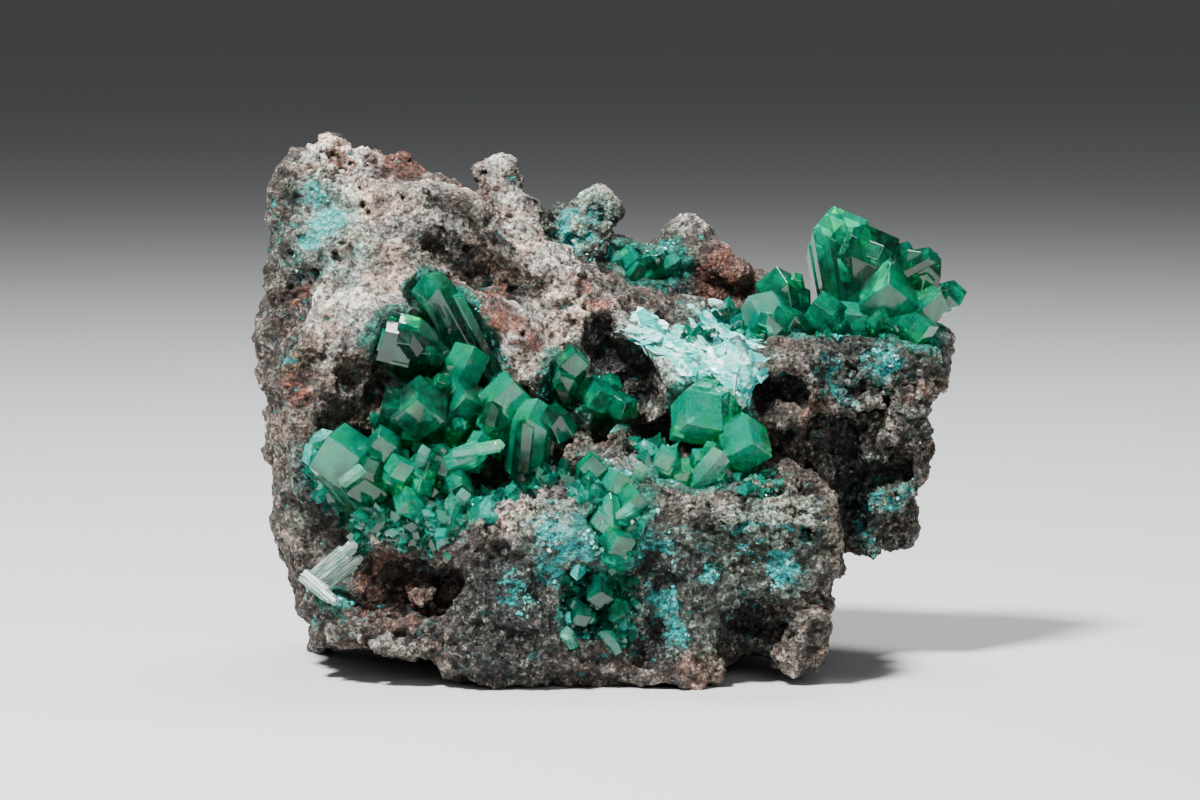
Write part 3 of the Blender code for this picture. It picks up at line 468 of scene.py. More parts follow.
class Look:
    """A node material on the specimen's own coordinates, read in millimetres."""

    def __init__(self, name):
        self.material = bpy.data.materials.new(name)
        self.material.use_nodes = True
        self.tree = self.material.node_tree
        self.shader = self.tree.nodes["Principled BSDF"]
        self.output = self.tree.nodes["Material Output"]
        metres = self.tree.nodes.new("ShaderNodeTexCoord").outputs["Object"]
        self.here = self.vector("MULTIPLY", {0: metres, 1: (1000.0, 1000.0, 1000.0)})

    def put(self, socket, value):
        """Links another node's output to the socket, or sets the socket's own number or colour."""
        if isinstance(value, bpy.types.NodeSocket):
            self.tree.links.new(value, socket)
        elif socket.type == "RGBA":
            socket.default_value = (*value, 1.0)
        else:
            socket.default_value = value

    def add(self, kind, inputs, **settings):
        node = self.tree.nodes.new(kind)
        for name, value in settings.items():
            setattr(node, name, value)
        for key, value in inputs.items():
            self.put(node.inputs[key], value)
        return node

    def vector(self, operation, inputs):
        return self.add("ShaderNodeVectorMath", inputs, operation=operation).outputs[0]

    def mapped(self, where, scale, rotation=(0.0, 0.0, 0.0)):
        inputs = {"Vector": where, "Rotation": rotation, "Scale": scale}
        return self.add("ShaderNodeMapping", inputs).outputs[0]

    def uv(self, name):
        return self.add("ShaderNodeUVMap", {}, uv_map=name).outputs[0]

    def attribute(self, name):
        return self.add("ShaderNodeAttribute", {}, attribute_name=name).outputs["Fac"]

    def noise(self, scale, detail=3.0, roughness=0.55, where=None):
        """Noise with scale features to the millimetre, about 0.5 in the middle."""
        inputs = {"Vector": where or self.here, "Scale": scale, "Detail": detail, "Roughness": roughness}
        return self.add("ShaderNodeTexNoise", inputs).outputs["Fac"]

    def cells(self, scale, output="Distance", feature="F1", where=None):
        inputs = {"Vector": where or self.here, "Scale": scale}
        return self.add("ShaderNodeTexVoronoi", inputs, feature=feature).outputs[output]

    def grey_cells(self, scale):
        """Cells with one random number each."""
        return self.add("ShaderNodeSeparateColor", {0: self.cells(scale, "Color")}).outputs[0]

    def combine(self, operation, first, second):
        return self.add("ShaderNodeMath", {0: first, 1: second}, operation=operation).outputs[0]

    def sum(self, first, second):
        return self.combine("ADD", first, second)

    def times(self, first, second):
        return self.combine("MULTIPLY", first, second)

    def swing(self, value, gain):
        """How far the value is from 0.5, times gain."""
        return self.times(self.sum(value, -0.5), gain)

    def stretch(self, value, low, high, to_low=0.0, to_high=1.0):
        """The value from low to high, stretched to the new range and held there."""
        inputs = {"Value": value, "From Min": low, "From Max": high, "To Min": to_low, "To Max": to_high}
        return self.add("ShaderNodeMapRange", inputs).outputs[0]

    def mix(self, factor, first, second, blend="MIX"):
        inputs = {0: factor, 6: first, 7: second}
        node = self.add("ShaderNodeMix", inputs, data_type="RGBA", blend_type=blend, clamp_factor=True)
        return node.outputs[2]

    def tint(self, factor, colour, tint):
        return self.mix(factor, colour, tint, "MULTIPLY")

    def brighten(self, colour, by):
        return self.vector("SCALE", {0: colour, "Scale": by})

    def ramp(self, value, *stops):
        """A colour for the value, from stops that each hold a place and a colour."""
        node = self.add("ShaderNodeValToRGB", {0: value})
        elements = node.color_ramp.elements
        while len(elements) < len(stops):
            elements.new(0.5)
        for element, (position, colour) in zip(elements, stops):
            element.position = position
            element.color = (*colour, 1.0)
        return node.outputs[0]

    def bump(self, height, distance, strength, under=None):
        inputs = {"Height": height, "Distance": distance * MM, "Strength": strength}
        if under is not None:
            inputs["Normal"] = under
        return self.add("ShaderNodeBump", inputs).outputs[0]

    def set(self, **values):
        for name, value in values.items():
            self.put(self.shader.inputs[name.replace("_", " ")], value)

    def glassy(self, colour, pattern, rough, bump, ior, clear):
        """Finishes a half-clear look, whose gloss and bump both follow one pattern."""
        self.set(Base_Color=colour, Roughness=self.stretch(pattern, *rough), Normal=self.bump(pattern, *bump))
        self.set(IOR=ior, Transmission_Weight=clear)
        return self.material


def patch(look, name, threshold, softness, ragged):
    """A patch with a ragged edge: the painted weight, eaten into by noise."""
    eaten = look.sum(look.attribute(name), look.swing(ragged, 1.3))
    return look.stretch(eaten, threshold, threshold + softness)


def bare_stone(look, middling, fine):
    """Grey-brown stone, warmer in broad patches."""
    stone = look.ramp(
        look.sum(look.times(middling, 0.55), look.times(fine, 0.45)),
        (0.38, (0.016, 0.012, 0.01)), (0.46, (0.062, 0.047, 0.039)), (0.53, (0.155, 0.128, 0.11)),
        (0.61, (0.34, 0.31, 0.28)),
    )
    warm_stone = look.ramp(
        fine,
        (0.36, (0.03, 0.015, 0.01)), (0.5, (0.165, 0.092, 0.066)), (0.64, (0.4, 0.27, 0.21)),
    )
    warm = look.stretch(look.noise(0.55, 5.0, 0.65), 0.48, 0.62, 0.0, 0.55)
    return look.mix(warm, stone, warm_stone)


def whitish_crust(look, fine):
    """A whitish crust, rosy in places."""
    crust = look.ramp(
        fine,
        (0.37, (0.1, 0.078, 0.068)), (0.455, (0.5, 0.45, 0.415)), (0.575, (0.94, 0.91, 0.88)),
    )
    rosy = look.stretch(look.noise(0.42, 4.0, 0.6), 0.44, 0.58, 0.0, 0.9)
    return look.mix(rosy, crust, look.tint(1.0, crust, (0.95, 0.70, 0.59)))


def rust(look, broad):
    """Where brick-red rust lies, and its colour."""
    painted = patch(look, "rust", 0.46, 0.40, look.noise(1.9, 5.0, 0.7))
    where = look.combine("MAXIMUM", painted, look.stretch(broad, 0.63, 0.72, 0.0, 0.4))
    colour = look.ramp(
        look.noise(2.9, 4.0, 0.65),
        (0.36, (0.03, 0.012, 0.01)), (0.48, (0.13, 0.036, 0.022)), (0.6, (0.33, 0.105, 0.066)),
    )
    return look.times(where, 0.88), colour


def winding_cracks(look):
    """Thin cracks, 1 in their middle, that wind and come and go."""
    waves = look.add("ShaderNodeTexNoise", {"Vector": look.here, "Scale": 0.6, "Detail": 5.0})
    bent = look.vector("MULTIPLY_ADD", {0: waves.outputs["Color"], 1: (3.0, 3.0, 3.0), 2: look.here})
    edges = look.cells(0.42, feature="DISTANCE_TO_EDGE", where=bent)
    here_and_there = look.stretch(look.noise(0.5, 2.0), 0.48, 0.60)
    return look.times(look.stretch(edges, 0.005, 0.05, 1.0, 0.0), here_and_there)


def grain_tone(look, pale):
    """How bright each grain of the rock is, with a few grains painted up to twice as bright as glints; the
    pale crust is more even.
    """
    grains = look.stretch(look.grey_cells(4.2), 0.1, 0.9, 0.55, 1.35)
    speckle = look.stretch(look.noise(6.0, 4.0, 0.75), 0.40, 0.60, 0.3, 1.5)
    painted_glint_flecks = look.stretch(look.grey_cells(8.5), 0.80, 0.98, 1.0, 2.0)
    tone = look.times(grains, look.times(speckle, painted_glint_flecks))
    evened = look.times(look.combine("SUBTRACT", 1.25, tone), look.times(pale, 0.32))
    return look.sum(tone, evened)


def turquoise_stain(look, relief):
    """Where turquoise lies on the rock, thicker in its low places, and its colour."""
    slanted = look.mapped(look.here, (0.8, 1.3, 1.6), (0.3, 0.9, 0.2))
    ragged = look.swing(look.noise(0.8, 6.0, 0.7, slanted), 4.2)
    painted = look.sum(look.sum(look.attribute("verdigris"), ragged), look.times(relief, -0.3))
    stray = look.stretch(look.noise(0.6, 5.0, 0.7, slanted), 0.60, 0.70, 0.0, 0.5)
    where = look.combine("MAXIMUM", look.stretch(painted, 0.50, 0.85), stray)
    veil = look.stretch(look.noise(3.5, 4.0, 0.65), 0.38, 0.54, 0.1, 1.0)
    colour = look.ramp(
        look.noise(2.6, 4.0, 0.65, slanted),
        (0.36, (0.0, 0.13, 0.13)), (0.48, (0.0, 0.4, 0.38)), (0.59, (0.015, 0.62, 0.58)),
        (0.7, (0.34, 0.78, 0.73)),
    )
    return look.times(where, veil), colour


def druse_ground(look):
    """Where the rock is green between its small crystals, and its colour."""
    where = patch(look, "druse", 0.35, 0.4, look.noise(2.0, 4.0))
    colour = look.ramp(
        look.noise(3.0, 3.0),
        (0.38, (0.002, 0.045, 0.032)), (0.52, (0.004, 0.16, 0.11)), (0.68, (0.02, 0.42, 0.36)),
    )
    return look.times(where, 0.9), colour


def shade(look, colour, broad, relief, pale):
    """The rock's colour, brighter and darker by grain and blotch, with painted shade in its hollows and
    lighter where it stands out, under a thin greenish film.
    """
    blotches = look.stretch(look.noise(0.7, 3.0), 0.38, 0.60, 0.62, 1.22)
    blotches = look.times(look.stretch(broad, 0.38, 0.62, 0.72, 1.2), blotches)
    colour = look.brighten(look.brighten(colour, grain_tone(look, pale)), blotches)
    # Painted shade: near black in the deepest hollows, and lighter where the skin stands out.
    depth = look.ramp(
        look.stretch(relief, -1.0, 1.0),
        (0.08, (0.04, 0.033, 0.03)), (0.36, (0.3, 0.27, 0.26)), (0.5, (1.0, 1.0, 1.0)),
        (0.72, (1.5, 1.5, 1.5)),
    )
    colour = look.tint(1.0, look.tint(1.0, colour, depth), (0.97, 1.0, 0.965))
    film = look.sum(look.attribute("film"), look.swing(look.noise(1.1, 5.0, 0.65), 1.6))
    return look.tint(look.stretch(film, 0.30, 0.80, 0.0, 0.8), colour, (0.55, 1.0, 0.93))


def rock_look():
    look = Look("weathered rock")
    broad = look.noise(0.22, 2.0)
    middling = look.noise(0.9, 4.0)
    fine = look.noise(3.2, 5.0, 0.65)
    grit = look.noise(11.0, 3.0, 0.7)
    relief = look.attribute("relief")
    cracks = winding_cracks(look)
    # Pale patches: whitish crust, and in places painted light.
    pale = patch(look, "pale", 0.34, 0.5, look.noise(1.2, 6.0, 0.7))
    # The dark patches' colour serves both the dark stone and the painted shade in the hollows.
    dark_and_shade = patch(look, "dark_and_shade", 0.34, 0.6, middling)
    dark_stone_and_shade = look.ramp(
        fine,
        (0.4, (0.008, 0.007, 0.007)), (0.53, (0.036, 0.032, 0.028)), (0.62, (0.25, 0.235, 0.22)),
    )

    def cover(under, where, colour):
        return look.mix(where, under, colour)

    colour = cover(bare_stone(look, middling, fine), pale, whitish_crust(look, fine))
    colour = cover(colour, *rust(look, broad))
    colour = cover(colour, look.times(cracks, 0.7), (0.035, 0.024, 0.020))
    colour = cover(colour, look.times(dark_and_shade, 0.94), dark_stone_and_shade)
    colour = shade(look, colour, broad, relief, pale)
    colour = cover(colour, *turquoise_stain(look, relief))
    colour = cover(colour, *druse_ground(look))

    glint = look.stretch(look.grey_cells(6.5), 0.86, 0.90)
    rough = look.sum(look.stretch(grit, 0.3, 0.7, 0.66, 0.9), look.times(glint, -0.5))
    rough = look.sum(rough, look.times(dark_and_shade, -0.28))
    skin = look.bump(grit, 0.16, 0.9)
    skin = look.bump(look.cells(4.6), 0.22, 0.9, skin)
    skin = look.bump(look.combine("SUBTRACT", 1.0, cracks), 0.25, 0.7, skin)
    skin = look.bump(fine, 0.55, 0.8, skin)
    look.set(Base_Color=colour, Roughness=rough, Normal=skin, Specular_IOR_Level=0.45)
    return look.material


def dioptase_look():
    """Clear green crystal with veils inside and fine growth lines, darkened towards its root as painted shade
    and brightened yellower in patches as a painted glow.
    """
    look = Look("dioptase crystal")
    growth = look.uv("growth")
    height = look.add("ShaderNodeSeparateXYZ", {0: growth}).outputs[1]
    tone = look.add("ShaderNodeSeparateXYZ", {0: look.uv("tone")}).outputs[0]
    tone = look.sum(tone, look.swing(look.noise(0.8, 4.0, 0.6), 1.2))
    # Painted shade: the tone falls towards the crystal's root.
    tone = look.sum(tone, look.stretch(height, -4.2, -0.7, -0.44, 0.05))
    green = look.ramp(
        tone,
        (0.0, (0.0, 0.075, 0.044)), (0.24, (0.0, 0.34, 0.2)), (0.46, (0.0, 0.73, 0.42)),
        (0.72, (0.0, 0.89, 0.61)), (1.0, (0.28, 0.94, 0.8)),
    )
    # Painted glow: brighter, yellower patches.
    lit = look.stretch(look.noise(0.45, 3.0), 0.50, 0.66, 0.0, 0.7)
    green = look.mix(lit, green, look.tint(1.0, green, (2.0, 1.12, 0.55)))
    skin = look.bump(look.noise(1.0, 2.0, 0.5, look.mapped(growth, (5.0, 0.6, 1.0))), 0.02, 0.3)
    skin = look.bump(look.cells(1.3, feature="SMOOTH_F1"), 0.02, 0.25, skin)
    rough = look.stretch(look.noise(2.4, 3.0), 0.42, 0.68, 0.03, 0.16)
    look.set(Base_Color=green, Roughness=rough, Normal=skin)
    look.set(IOR=DIOPTASE_IOR, Transmission_Weight=0.84, Specular_IOR_Level=0.5)
    absorption = look.add("ShaderNodeVolumeAbsorption", {"Color": (0.01, 0.78, 0.42), "Density": 240.0})
    look.put(look.output.inputs["Volume"], absorption.outputs[0])
    return look.material


def pale_look():
    look = Look("pale striated dioptase")
    lines = look.noise(1.0, 3.0, 0.6, look.mapped(look.uv("growth"), (9.0, 0.7, 1.0)))
    colour = look.ramp(
        lines,
        (0.38, (0.05, 0.22, 0.17)), (0.5, (0.3, 0.46, 0.39)), (0.62, (0.74, 0.8, 0.74)),
    )
    return look.glassy(colour, lines, (0.35, 0.65, 0.18, 0.4), (0.06, 0.8), PALE_IOR, 0.5)


def druse_look():
    look = Look("small dioptase")
    cloud = look.noise(4.0, 2.0)
    colour = look.ramp(
        look.sum(look.attribute("tint"), look.swing(cloud, 0.6)),
        (0.0, (0.0, 0.06, 0.032)), (0.4, (0.0, 0.25, 0.14)), (0.72, (0.0, 0.48, 0.31)),
        (0.9, (0.002, 0.66, 0.54)), (1.0, (0.15, 0.8, 0.7)),
    )
    return look.glassy(colour, cloud, (0.35, 0.65, 0.09, 0.2), (0.01, 0.3), DIOPTASE_IOR, 0.72)


def chip_look():
    look = Look("turquoise crust")
    cloud = look.noise(5.0, 2.0)
    colour = look.ramp(
        look.attribute("tint"),
        (0.0, (0.0, 0.3, 0.3)), (0.5, (0.01, 0.55, 0.54)), (0.8, (0.16, 0.75, 0.72)),
        (1.0, (0.7, 0.88, 0.84)),
    )
    colour = look.mix(look.stretch(cloud, 0.4, 0.6, 0.0, 0.4), colour, (0.02, 0.36, 0.33))
    return look.glassy(colour, cloud, (0.3, 0.7, 0.2, 0.5), (0.03, 0.5), CRUST_IOR, 0.15)


def sheet_look():
    look = Look("bright streaked sheets")
    lines = look.noise(1.4, 4.0, 0.6, look.mapped(look.here, (0.8, 4.0, 4.0), (0.0, 0.6, 0.3)))
    colour = look.ramp(
        look.sum(look.attribute("tint"), look.swing(lines, 1.6)),
        (0.0, (0.0, 0.4, 0.36)), (0.3, (0.02, 0.68, 0.61)), (0.52, (0.18, 0.7, 0.64)),
        (0.74, (0.38, 0.9, 0.84)), (1.0, (0.76, 0.98, 0.94)),
    )
    return look.glassy(colour, lines, (0.35, 0.65, 0.12, 0.38), (0.04, 0.6), CRUST_IOR, 0.15)


def floor_look():
    look = Look("pale studio floor")
    look.set(Base_Color=(0.62, 0.63, 0.63), Roughness=0.85)
    return look.material


# The rock.


def relief_texture(name, kind, size, **settings):
    texture = bpy.data.textures.new(name, kind)
    texture.noise_scale = size * MM
    for key, value in settings.items():
        setattr(texture, key, value)
    return texture


def rough_up(piece, texture, strength, group, middle=0.5):
    """Pushes the skin in and out by a texture, as far as the vertex group lets it."""
    apply_modifier(
        piece, "DISPLACE", texture=texture, strength=strength * MM, mid_level=middle,
        texture_coords="LOCAL", vertex_group=group,
    )


def mode(name):
    bpy.ops.object.mode_set(mode=name)


def select(action):
    bpy.ops.mesh.select_all(action=action)


def face_outwards():
    select("SELECT")
    bpy.ops.mesh.normals_make_consistent(inside=False)


def bisect(plane_point, plane_normal, **keep):
    select("SELECT")
    bpy.ops.mesh.bisect(plane_co=plane_point, plane_no=plane_normal, use_fill=True, **keep)


def keep_main_body(piece):
    """Removes loose crumbs: everything that isn't linked to the piece's top vertex."""
    top = int(np.argmax(coordinates(piece.data)[:, 2]))
    pick(piece)
    mode("EDIT")
    select("DESELECT")
    mode("OBJECT")
    piece.data.vertices[top].select = True
    mode("EDIT")
    bpy.ops.mesh.select_mode(type="VERT")
    bpy.ops.mesh.select_linked()
    select("INVERT")
    bpy.ops.mesh.delete(type="VERT")
    mode("OBJECT")


def new_piece(name, mesh):
    piece = bpy.data.objects.new(name, mesh)
    bpy.context.scene.collection.objects.link(piece)
    return piece


def heights(mesh, rounds):
    """How far each vertex stands out of its smoothed surroundings, in millimetres."""
    points = coordinates(mesh)
    count = len(points)
    edges = np.empty(len(mesh.edges) * 2, np.int32)
    mesh.edges.foreach_get("vertices", edges)
    first, second = edges.reshape(-1, 2).T
    shares = np.bincount(edges, minlength=count).clip(1)[:, None]

    def neighbours(values):
        return np.bincount(first, values[second], count) + np.bincount(second, values[first], count)

    smooth = points.copy()
    for _ in range(rounds):
        total = np.stack([neighbours(smooth[:, axis]) for axis in range(3)], axis=1)
        smooth = 0.5 * smooth + 0.5 * total / shares
    normals = np.empty(count * 3, np.float32)
    mesh.vertices.foreach_get("normal", normals)
    return ((points - smooth) * normals.reshape(-1, 3)).sum(axis=1) / MM


def add_layer(mesh, name, values):
    layer = mesh.attributes.new(name, "FLOAT", "POINT")
    layer.data.foreach_set("value", values.astype(np.float32))


def paint(piece, relief):
    """Writes the skin's patches and relief on the piece's vertices, for its material to read."""
    points = coordinates(piece.data)
    for name, spots in PATCHES.items():
        add_layer(piece.data, name, spot_weights(points, spots))
    green = np.clip(1.2 - crystal_distance(points) / 1.1, 0.0, 0.9)
    add_layer(piece.data, "druse", np.maximum(0.9 * spot_weights(points, DRUSE), green))
    add_layer(piece.data, "relief", np.clip(relief / RELIEF_SPAN, -1.0, 1.0))


def add_lumps(rock):
    """Joins the knobs' lumps and the ledges' blocks to the rock, to be melted in by the next remesh."""
    added = []
    for centre, radius in LUMPS:
        at = tuple(place(centre))
        bpy.ops.mesh.primitive_ico_sphere_add(subdivisions=3, radius=radius * MM, location=at)
        added.append(bpy.context.object)
    for centre, size, turn in LEDGES:
        bpy.ops.mesh.primitive_cube_add(size=1.0, location=tuple(place(centre)))
        block = bpy.context.object
        block.scale = Vector(size) * MM
        block.rotation_euler = [math.radians(angle) for angle in turn]
        added.append(block)
    pick(rock)
    for lump in added:
        lump.select_set(True)
    bpy.ops.object.join()


def melt_rock():
    """The solid's shape as one even skin, with the lumps and blocks melted in."""
    rock = new_piece("rock", frame["nodes"]["matrix"].data.copy())
    rock.data.materials.clear()
    pick(rock)
    mode("EDIT")
    select("SELECT")
    bpy.ops.mesh.remove_doubles(threshold=0.000001)
    mode("OBJECT")
    remesh(rock, COARSE_VOXEL)
    apply_modifier(rock, "DISPLACE", strength=SWELLING * MM, mid_level=0.0)
    add_lumps(rock)
    remesh(rock, COARSE_VOXEL)
    return rock


def weigh_open(rock, points, away, beside, even, lumpy):
    """The group that roughness follows: less of it beside crystals, on even crust and on the lumps."""
    evenness = 1.0 - even * spot_weights(points, EVEN_SKIN)
    rugged = evenness * (1.0 - lumpy * spot_weights(points, LUMP_SPOTS))
    weigh(rock, "open", (beside + (1.0 - beside) * away) * rugged)


def break_skin(rock):
    """Blocks, crags and knobs of a millimetre or more."""
    points = coordinates(rock.data)
    away = np.clip(crystal_distance(points, 0.3), 0.0, 1.0)
    weigh_open(rock, points, away, 0.35, 0.5, 0.75)
    blocks = relief_texture(
        "blocks", "VORONOI", 3.8, distance_metric="MANHATTAN", weight_1=-1.0, weight_2=1.0
    )
    crags = relief_texture(
        "crags", "MUSGRAVE", 2.6, musgrave_type="RIDGED_MULTIFRACTAL", octaves=4.0,
        dimension_max=0.8, noise_intensity=0.5,
    )
    knobs = relief_texture("knobs", "VORONOI", 1.5, distance_metric="CHEBYCHEV")
    rough_up(rock, blocks, 0.8, "open", 0.35)
    rough_up(rock, crags, 0.8, "open", 0.6)
    rough_up(rock, knobs, -0.6, "open", 0.45)


def crumble_skin(rock):
    """Gas pits, crumbs and grit under a millimetre."""
    points = coordinates(rock.data)
    away = np.clip(crystal_distance(points, 0.2), 0.0, 1.0)
    weigh(rock, "granular", spot_weights(points, GRANULAR) * away)
    weigh(rock, "pitted", spot_weights(points, PITTED) * away * drift(points, 700.0, 0.15))
    weigh_open(rock, points, away, 0.4, 0.6, 0.3)
    vesicles = relief_texture("vesicles", "VORONOI", 1.0, use_color_ramp=True)
    for step, position, level in zip(vesicles.color_ramp.elements, (0.18, 0.30), (0.0, 1.0)):
        step.position = position
        step.color = (level, level, level, 1.0)
    rough_up(rock, vesicles, 0.75, "pitted", 1.0)
    rough_up(rock, relief_texture("crumbs", "VORONOI", 0.62), -0.62, "granular")
    rough_up(rock, relief_texture("grit", "CLOUDS", 0.34, noise_depth=2), 0.42, "open")


def finish_half(half, keep):
    """Keeps one side of the parting, thins it and paints it."""
    pick(half)
    mode("EDIT")
    bisect((0, PARTING * MM, 0), (0, 1, 0), **keep)
    face_outwards()
    mode("OBJECT")
    triangles = sum(len(polygon.vertices) - 2 for polygon in half.data.polygons)
    apply_modifier(half, "DECIMATE", ratio=min(1.0, ROCK_TRIANGLES / triangles))
    bpy.ops.object.shade_smooth_by_angle(angle=math.radians(30))
    relief = np.empty(len(half.data.vertices), np.float32)
    layer = half.data.attributes["relief"]
    layer.data.foreach_get("value", relief)
    half.data.attributes.remove(layer)
    paint(half, relief)


def make_rock():
    """The rock's crumbled skin, cut flat where it rests, in a front half and a back half."""
    rock = melt_rock()
    break_skin(rock)
    remesh(rock, FINE_VOXEL)
    crumble_skin(rock)
    mode("EDIT")
    bisect((0, 0, 0), (0, 0, 1), clear_inner=True)
    mode("OBJECT")
    keep_main_body(rock)
    add_layer(rock.data, "relief", heights(rock.data, RELIEF_ROUNDS))
    back = new_piece("rock_back", rock.data.copy())
    for group in rock.vertex_groups:
        back.vertex_groups.new(name=group.name)
    finish_half(rock, {"clear_outer": True})
    finish_half(back, {"clear_inner": True})
    return rock, back


# Crystals.


def map_growth(mesh, tone):
    """Two UV maps: millimetres across each face and up it, and the crystal's tone."""
    mesh.uv_layers.new(name="growth")
    mesh.uv_layers.new(name="tone")
    growth = mesh.uv_layers["growth"]
    mesh.uv_layers["tone"].data.foreach_set("uv", np.full(2 * len(mesh.loops), tone, np.float32))
    for polygon in mesh.polygons:
        normal = polygon.normal
        across = Vector((0, 0, 1)).cross(normal)
        across = across.normalized() if across.length > 0.01 else Vector((1, 0, 0))
        up = normal.cross(across)
        for corner in polygon.loop_indices:
            point = mesh.vertices[mesh.loops[corner].vertex_index].co / MM
            growth.data[corner].uv = (point.dot(across) + 3.7 * polygon.index, point.dot(up))


def grow_crystal(name, tip, way, radius, length, turn, bevel=WORN_EDGE, tones=USUAL_TONES):
    """One crystal: a six-sided column cut by three faces at its tip, with worn edges."""
    bpy.ops.object.select_all(action="DESELECT")
    bpy.ops.mesh.primitive_cylinder_add(
        vertices=6, radius=radius * MM, depth=2 * length * MM, location=(0, 0, 0)
    )
    crystal = bpy.context.object
    crystal.name = name
    mode("EDIT")
    for third in range(3):
        around = math.radians(FIRST_EDGE + 120 * third)
        outwards = math.sin(FACE_TILT)
        normal = (math.cos(around) * outwards, math.sin(around) * outwards, math.cos(FACE_TILT))
        bisect((0, 0, 0), normal, clear_outer=True)
        select("SELECT")
        bpy.ops.mesh.remove_doubles(threshold=0.000002)
    if bevel:
        select("SELECT")
        bpy.ops.mesh.bevel(offset=bevel * MM, segments=1, affect="EDGES")
    face_outwards()
    mode("OBJECT")
    map_growth(crystal.data, PALE_AND_LIT_CRYSTALS.get(tuple(tip), CHANCE.uniform(*tones)))
    aim = Vector(way).to_track_quat("Z", "Y").to_matrix().to_4x4()
    spin = Matrix.Rotation(math.radians(turn), 4, "Z")
    crystal.matrix_world = Matrix.Translation(Vector(place(tip))) @ aim @ spin
    pick(crystal)
    bpy.ops.object.transform_apply(location=True, rotation=True, scale=True)
    return crystal


def parallel_growth(shape, count):
    """Lesser crystals that share a crystal's axis and faces, set into its sides a little lower."""
    tip, way, radius, length, turn = shape
    aim = Vector(way).to_track_quat("Z", "Y").to_matrix()
    lesser = []
    start = CHANCE.uniform(0, 360)
    for number in range(count):
        angle = math.radians(start + 360 * number / count + CHANCE.uniform(-25, 25))
        size = CHANCE.uniform(0.42, 0.66)
        aside = radius * CHANCE.uniform(0.42, 0.62)
        drop = radius * CHANCE.uniform(0.35, 1.1)
        shift = aim @ Vector((math.cos(angle) * aside, math.sin(angle) * aside, -drop))
        lean = Vector(way).normalized() + Vector(CHANCE.uniform(-0.05, 0.05, 3))
        least = max(length - drop, 2.0)
        lesser.append((tuple(Vector(tip) + shift), tuple(lean), radius * size, least, turn))
    return lesser


def blades(shape, count):
    """A lath as a sheaf of thin columns side by side, across the line of sight."""
    tip, way, radius, length, turn = shape
    way = Vector(way).normalized()
    across = way.cross(Vector((0, 1, 0))).normalized()
    inward = across.cross(way)
    sheaf = []
    for number in range(count):
        aside = 2.0 * number / (count - 1) - 1.0
        drop = 1.1 * radius * aside * aside + CHANCE.uniform(0.0, 0.25)
        shift = across * aside * radius * 0.38 + inward * CHANCE.uniform(-0.08, 0.08) - way * drop
        lean = way + across * aside * 0.02
        thin = radius * CHANCE.uniform(0.26, 0.36)
        sheaf.append((tuple(Vector(tip) + shift), tuple(lean), thin, length - drop, turn + 30 * number))
    return sheaf


def fillers(shapes, count):
    """Smaller crystals low between neighbours, which close the crust."""
    made = []
    while len(made) < count:
        one, other = (shapes[index] for index in CHANCE.integers(0, len(shapes), 2))
        if (Vector(one[0]) - Vector(other[0])).length > NEIGHBOURLY:
            continue
        share = CHANCE.uniform(0.2, 0.8)
        way = Vector(one[1]).normalized().lerp(Vector(other[1]).normalized(), share)
        tip = Vector(one[0]).lerp(Vector(other[0]), share) - way * CHANCE.uniform(0.8, 2.6)
        tip += Vector(CHANCE.normal(0.0, 0.7, 3))
        way += Vector(CHANCE.normal(0.0, 0.35, 3))
        radius, length = CHANCE.uniform(0.4, 0.95), CHANCE.uniform(1.8, 2.8)
        made.append((tuple(tip), tuple(way), radius, length, CHANCE.uniform(0, 60)))
    return made


def join_crystals(node, shapes, siblings, between, bevel):
    """A crust of crystals grown together, one closed body."""
    name = f"{node}_grown"
    tones = TONES.get(node, USUAL_TONES)
    first = grow_crystal(name, *shapes[0], bevel, tones)
    others = bpy.data.collections.new(f"{name}_others")
    bpy.context.scene.collection.children.link(others)
    more = list(shapes[1:])
    for shape in shapes:
        if siblings and shape not in LONE_CRYSTALS:
            more += parallel_growth(shape, siblings if shape[2] > STOUT else max(siblings - 2, 1))
    more += fillers(shapes, between)
    glint_splinters = GLINT_SPLINTERS.get(node, [])
    for number, shape in enumerate(more + glint_splinters):
        # The splinters take the palest tones, as painted glints.
        span = GLINT_SPLINTER_TONES if shape in glint_splinters else tones
        crystal = grow_crystal(f"{name}_{number}", *shape, bevel, span)
        for collection in list(crystal.users_collection):
            collection.objects.unlink(crystal)
        others.objects.link(crystal)
    apply_modifier(
        first, "BOOLEAN", operation="UNION", operand_type="COLLECTION", collection=others, solver="EXACT"
    )
    for crystal in list(others.objects):
        bpy.data.objects.remove(crystal)
    bpy.data.collections.remove(others)
    return first


# Small things, scattered.


def surface_places(piece, count, weight):
    """Points on a piece's skin and the skin's normals there, denser where weight is larger."""
    mesh = piece.data
    mesh.calc_loop_triangles()
    corners = np.empty(len(mesh.loop_triangles) * 3, np.int32)
    mesh.loop_triangles.foreach_get("vertices", corners)
    points = coordinates(mesh)[corners.reshape(-1, 3)]
    cross = np.cross(points[:, 1] - points[:, 0], points[:, 2] - points[:, 0])
    area = np.linalg.norm(cross, axis=1)
    chance = area * weight(points.mean(axis=1))
    chosen = CHANCE.choice(len(area), size=count, p=chance / chance.sum())
    u, v = CHANCE.random((2, count))
    over = u + v > 1
    u[over], v[over] = 1 - u[over], 1 - v[over]
    first, second, third = points[chosen].transpose(1, 0, 2)
    spots = first + u[:, None] * (second - first) + v[:, None] * (third - first)
    return spots, cross[chosen] / area[chosen, None].clip(1e-18)


def unit(ways):
    return ways / np.linalg.norm(ways, axis=1)[:, None]


def frames_along(ways):
    """For each direction a turned frame whose third axis is that direction."""
    ways = unit(ways)
    side = unit(np.cross(ways, CHANCE.normal(size=ways.shape)))
    return np.stack([side, np.cross(ways, side), ways], axis=2)


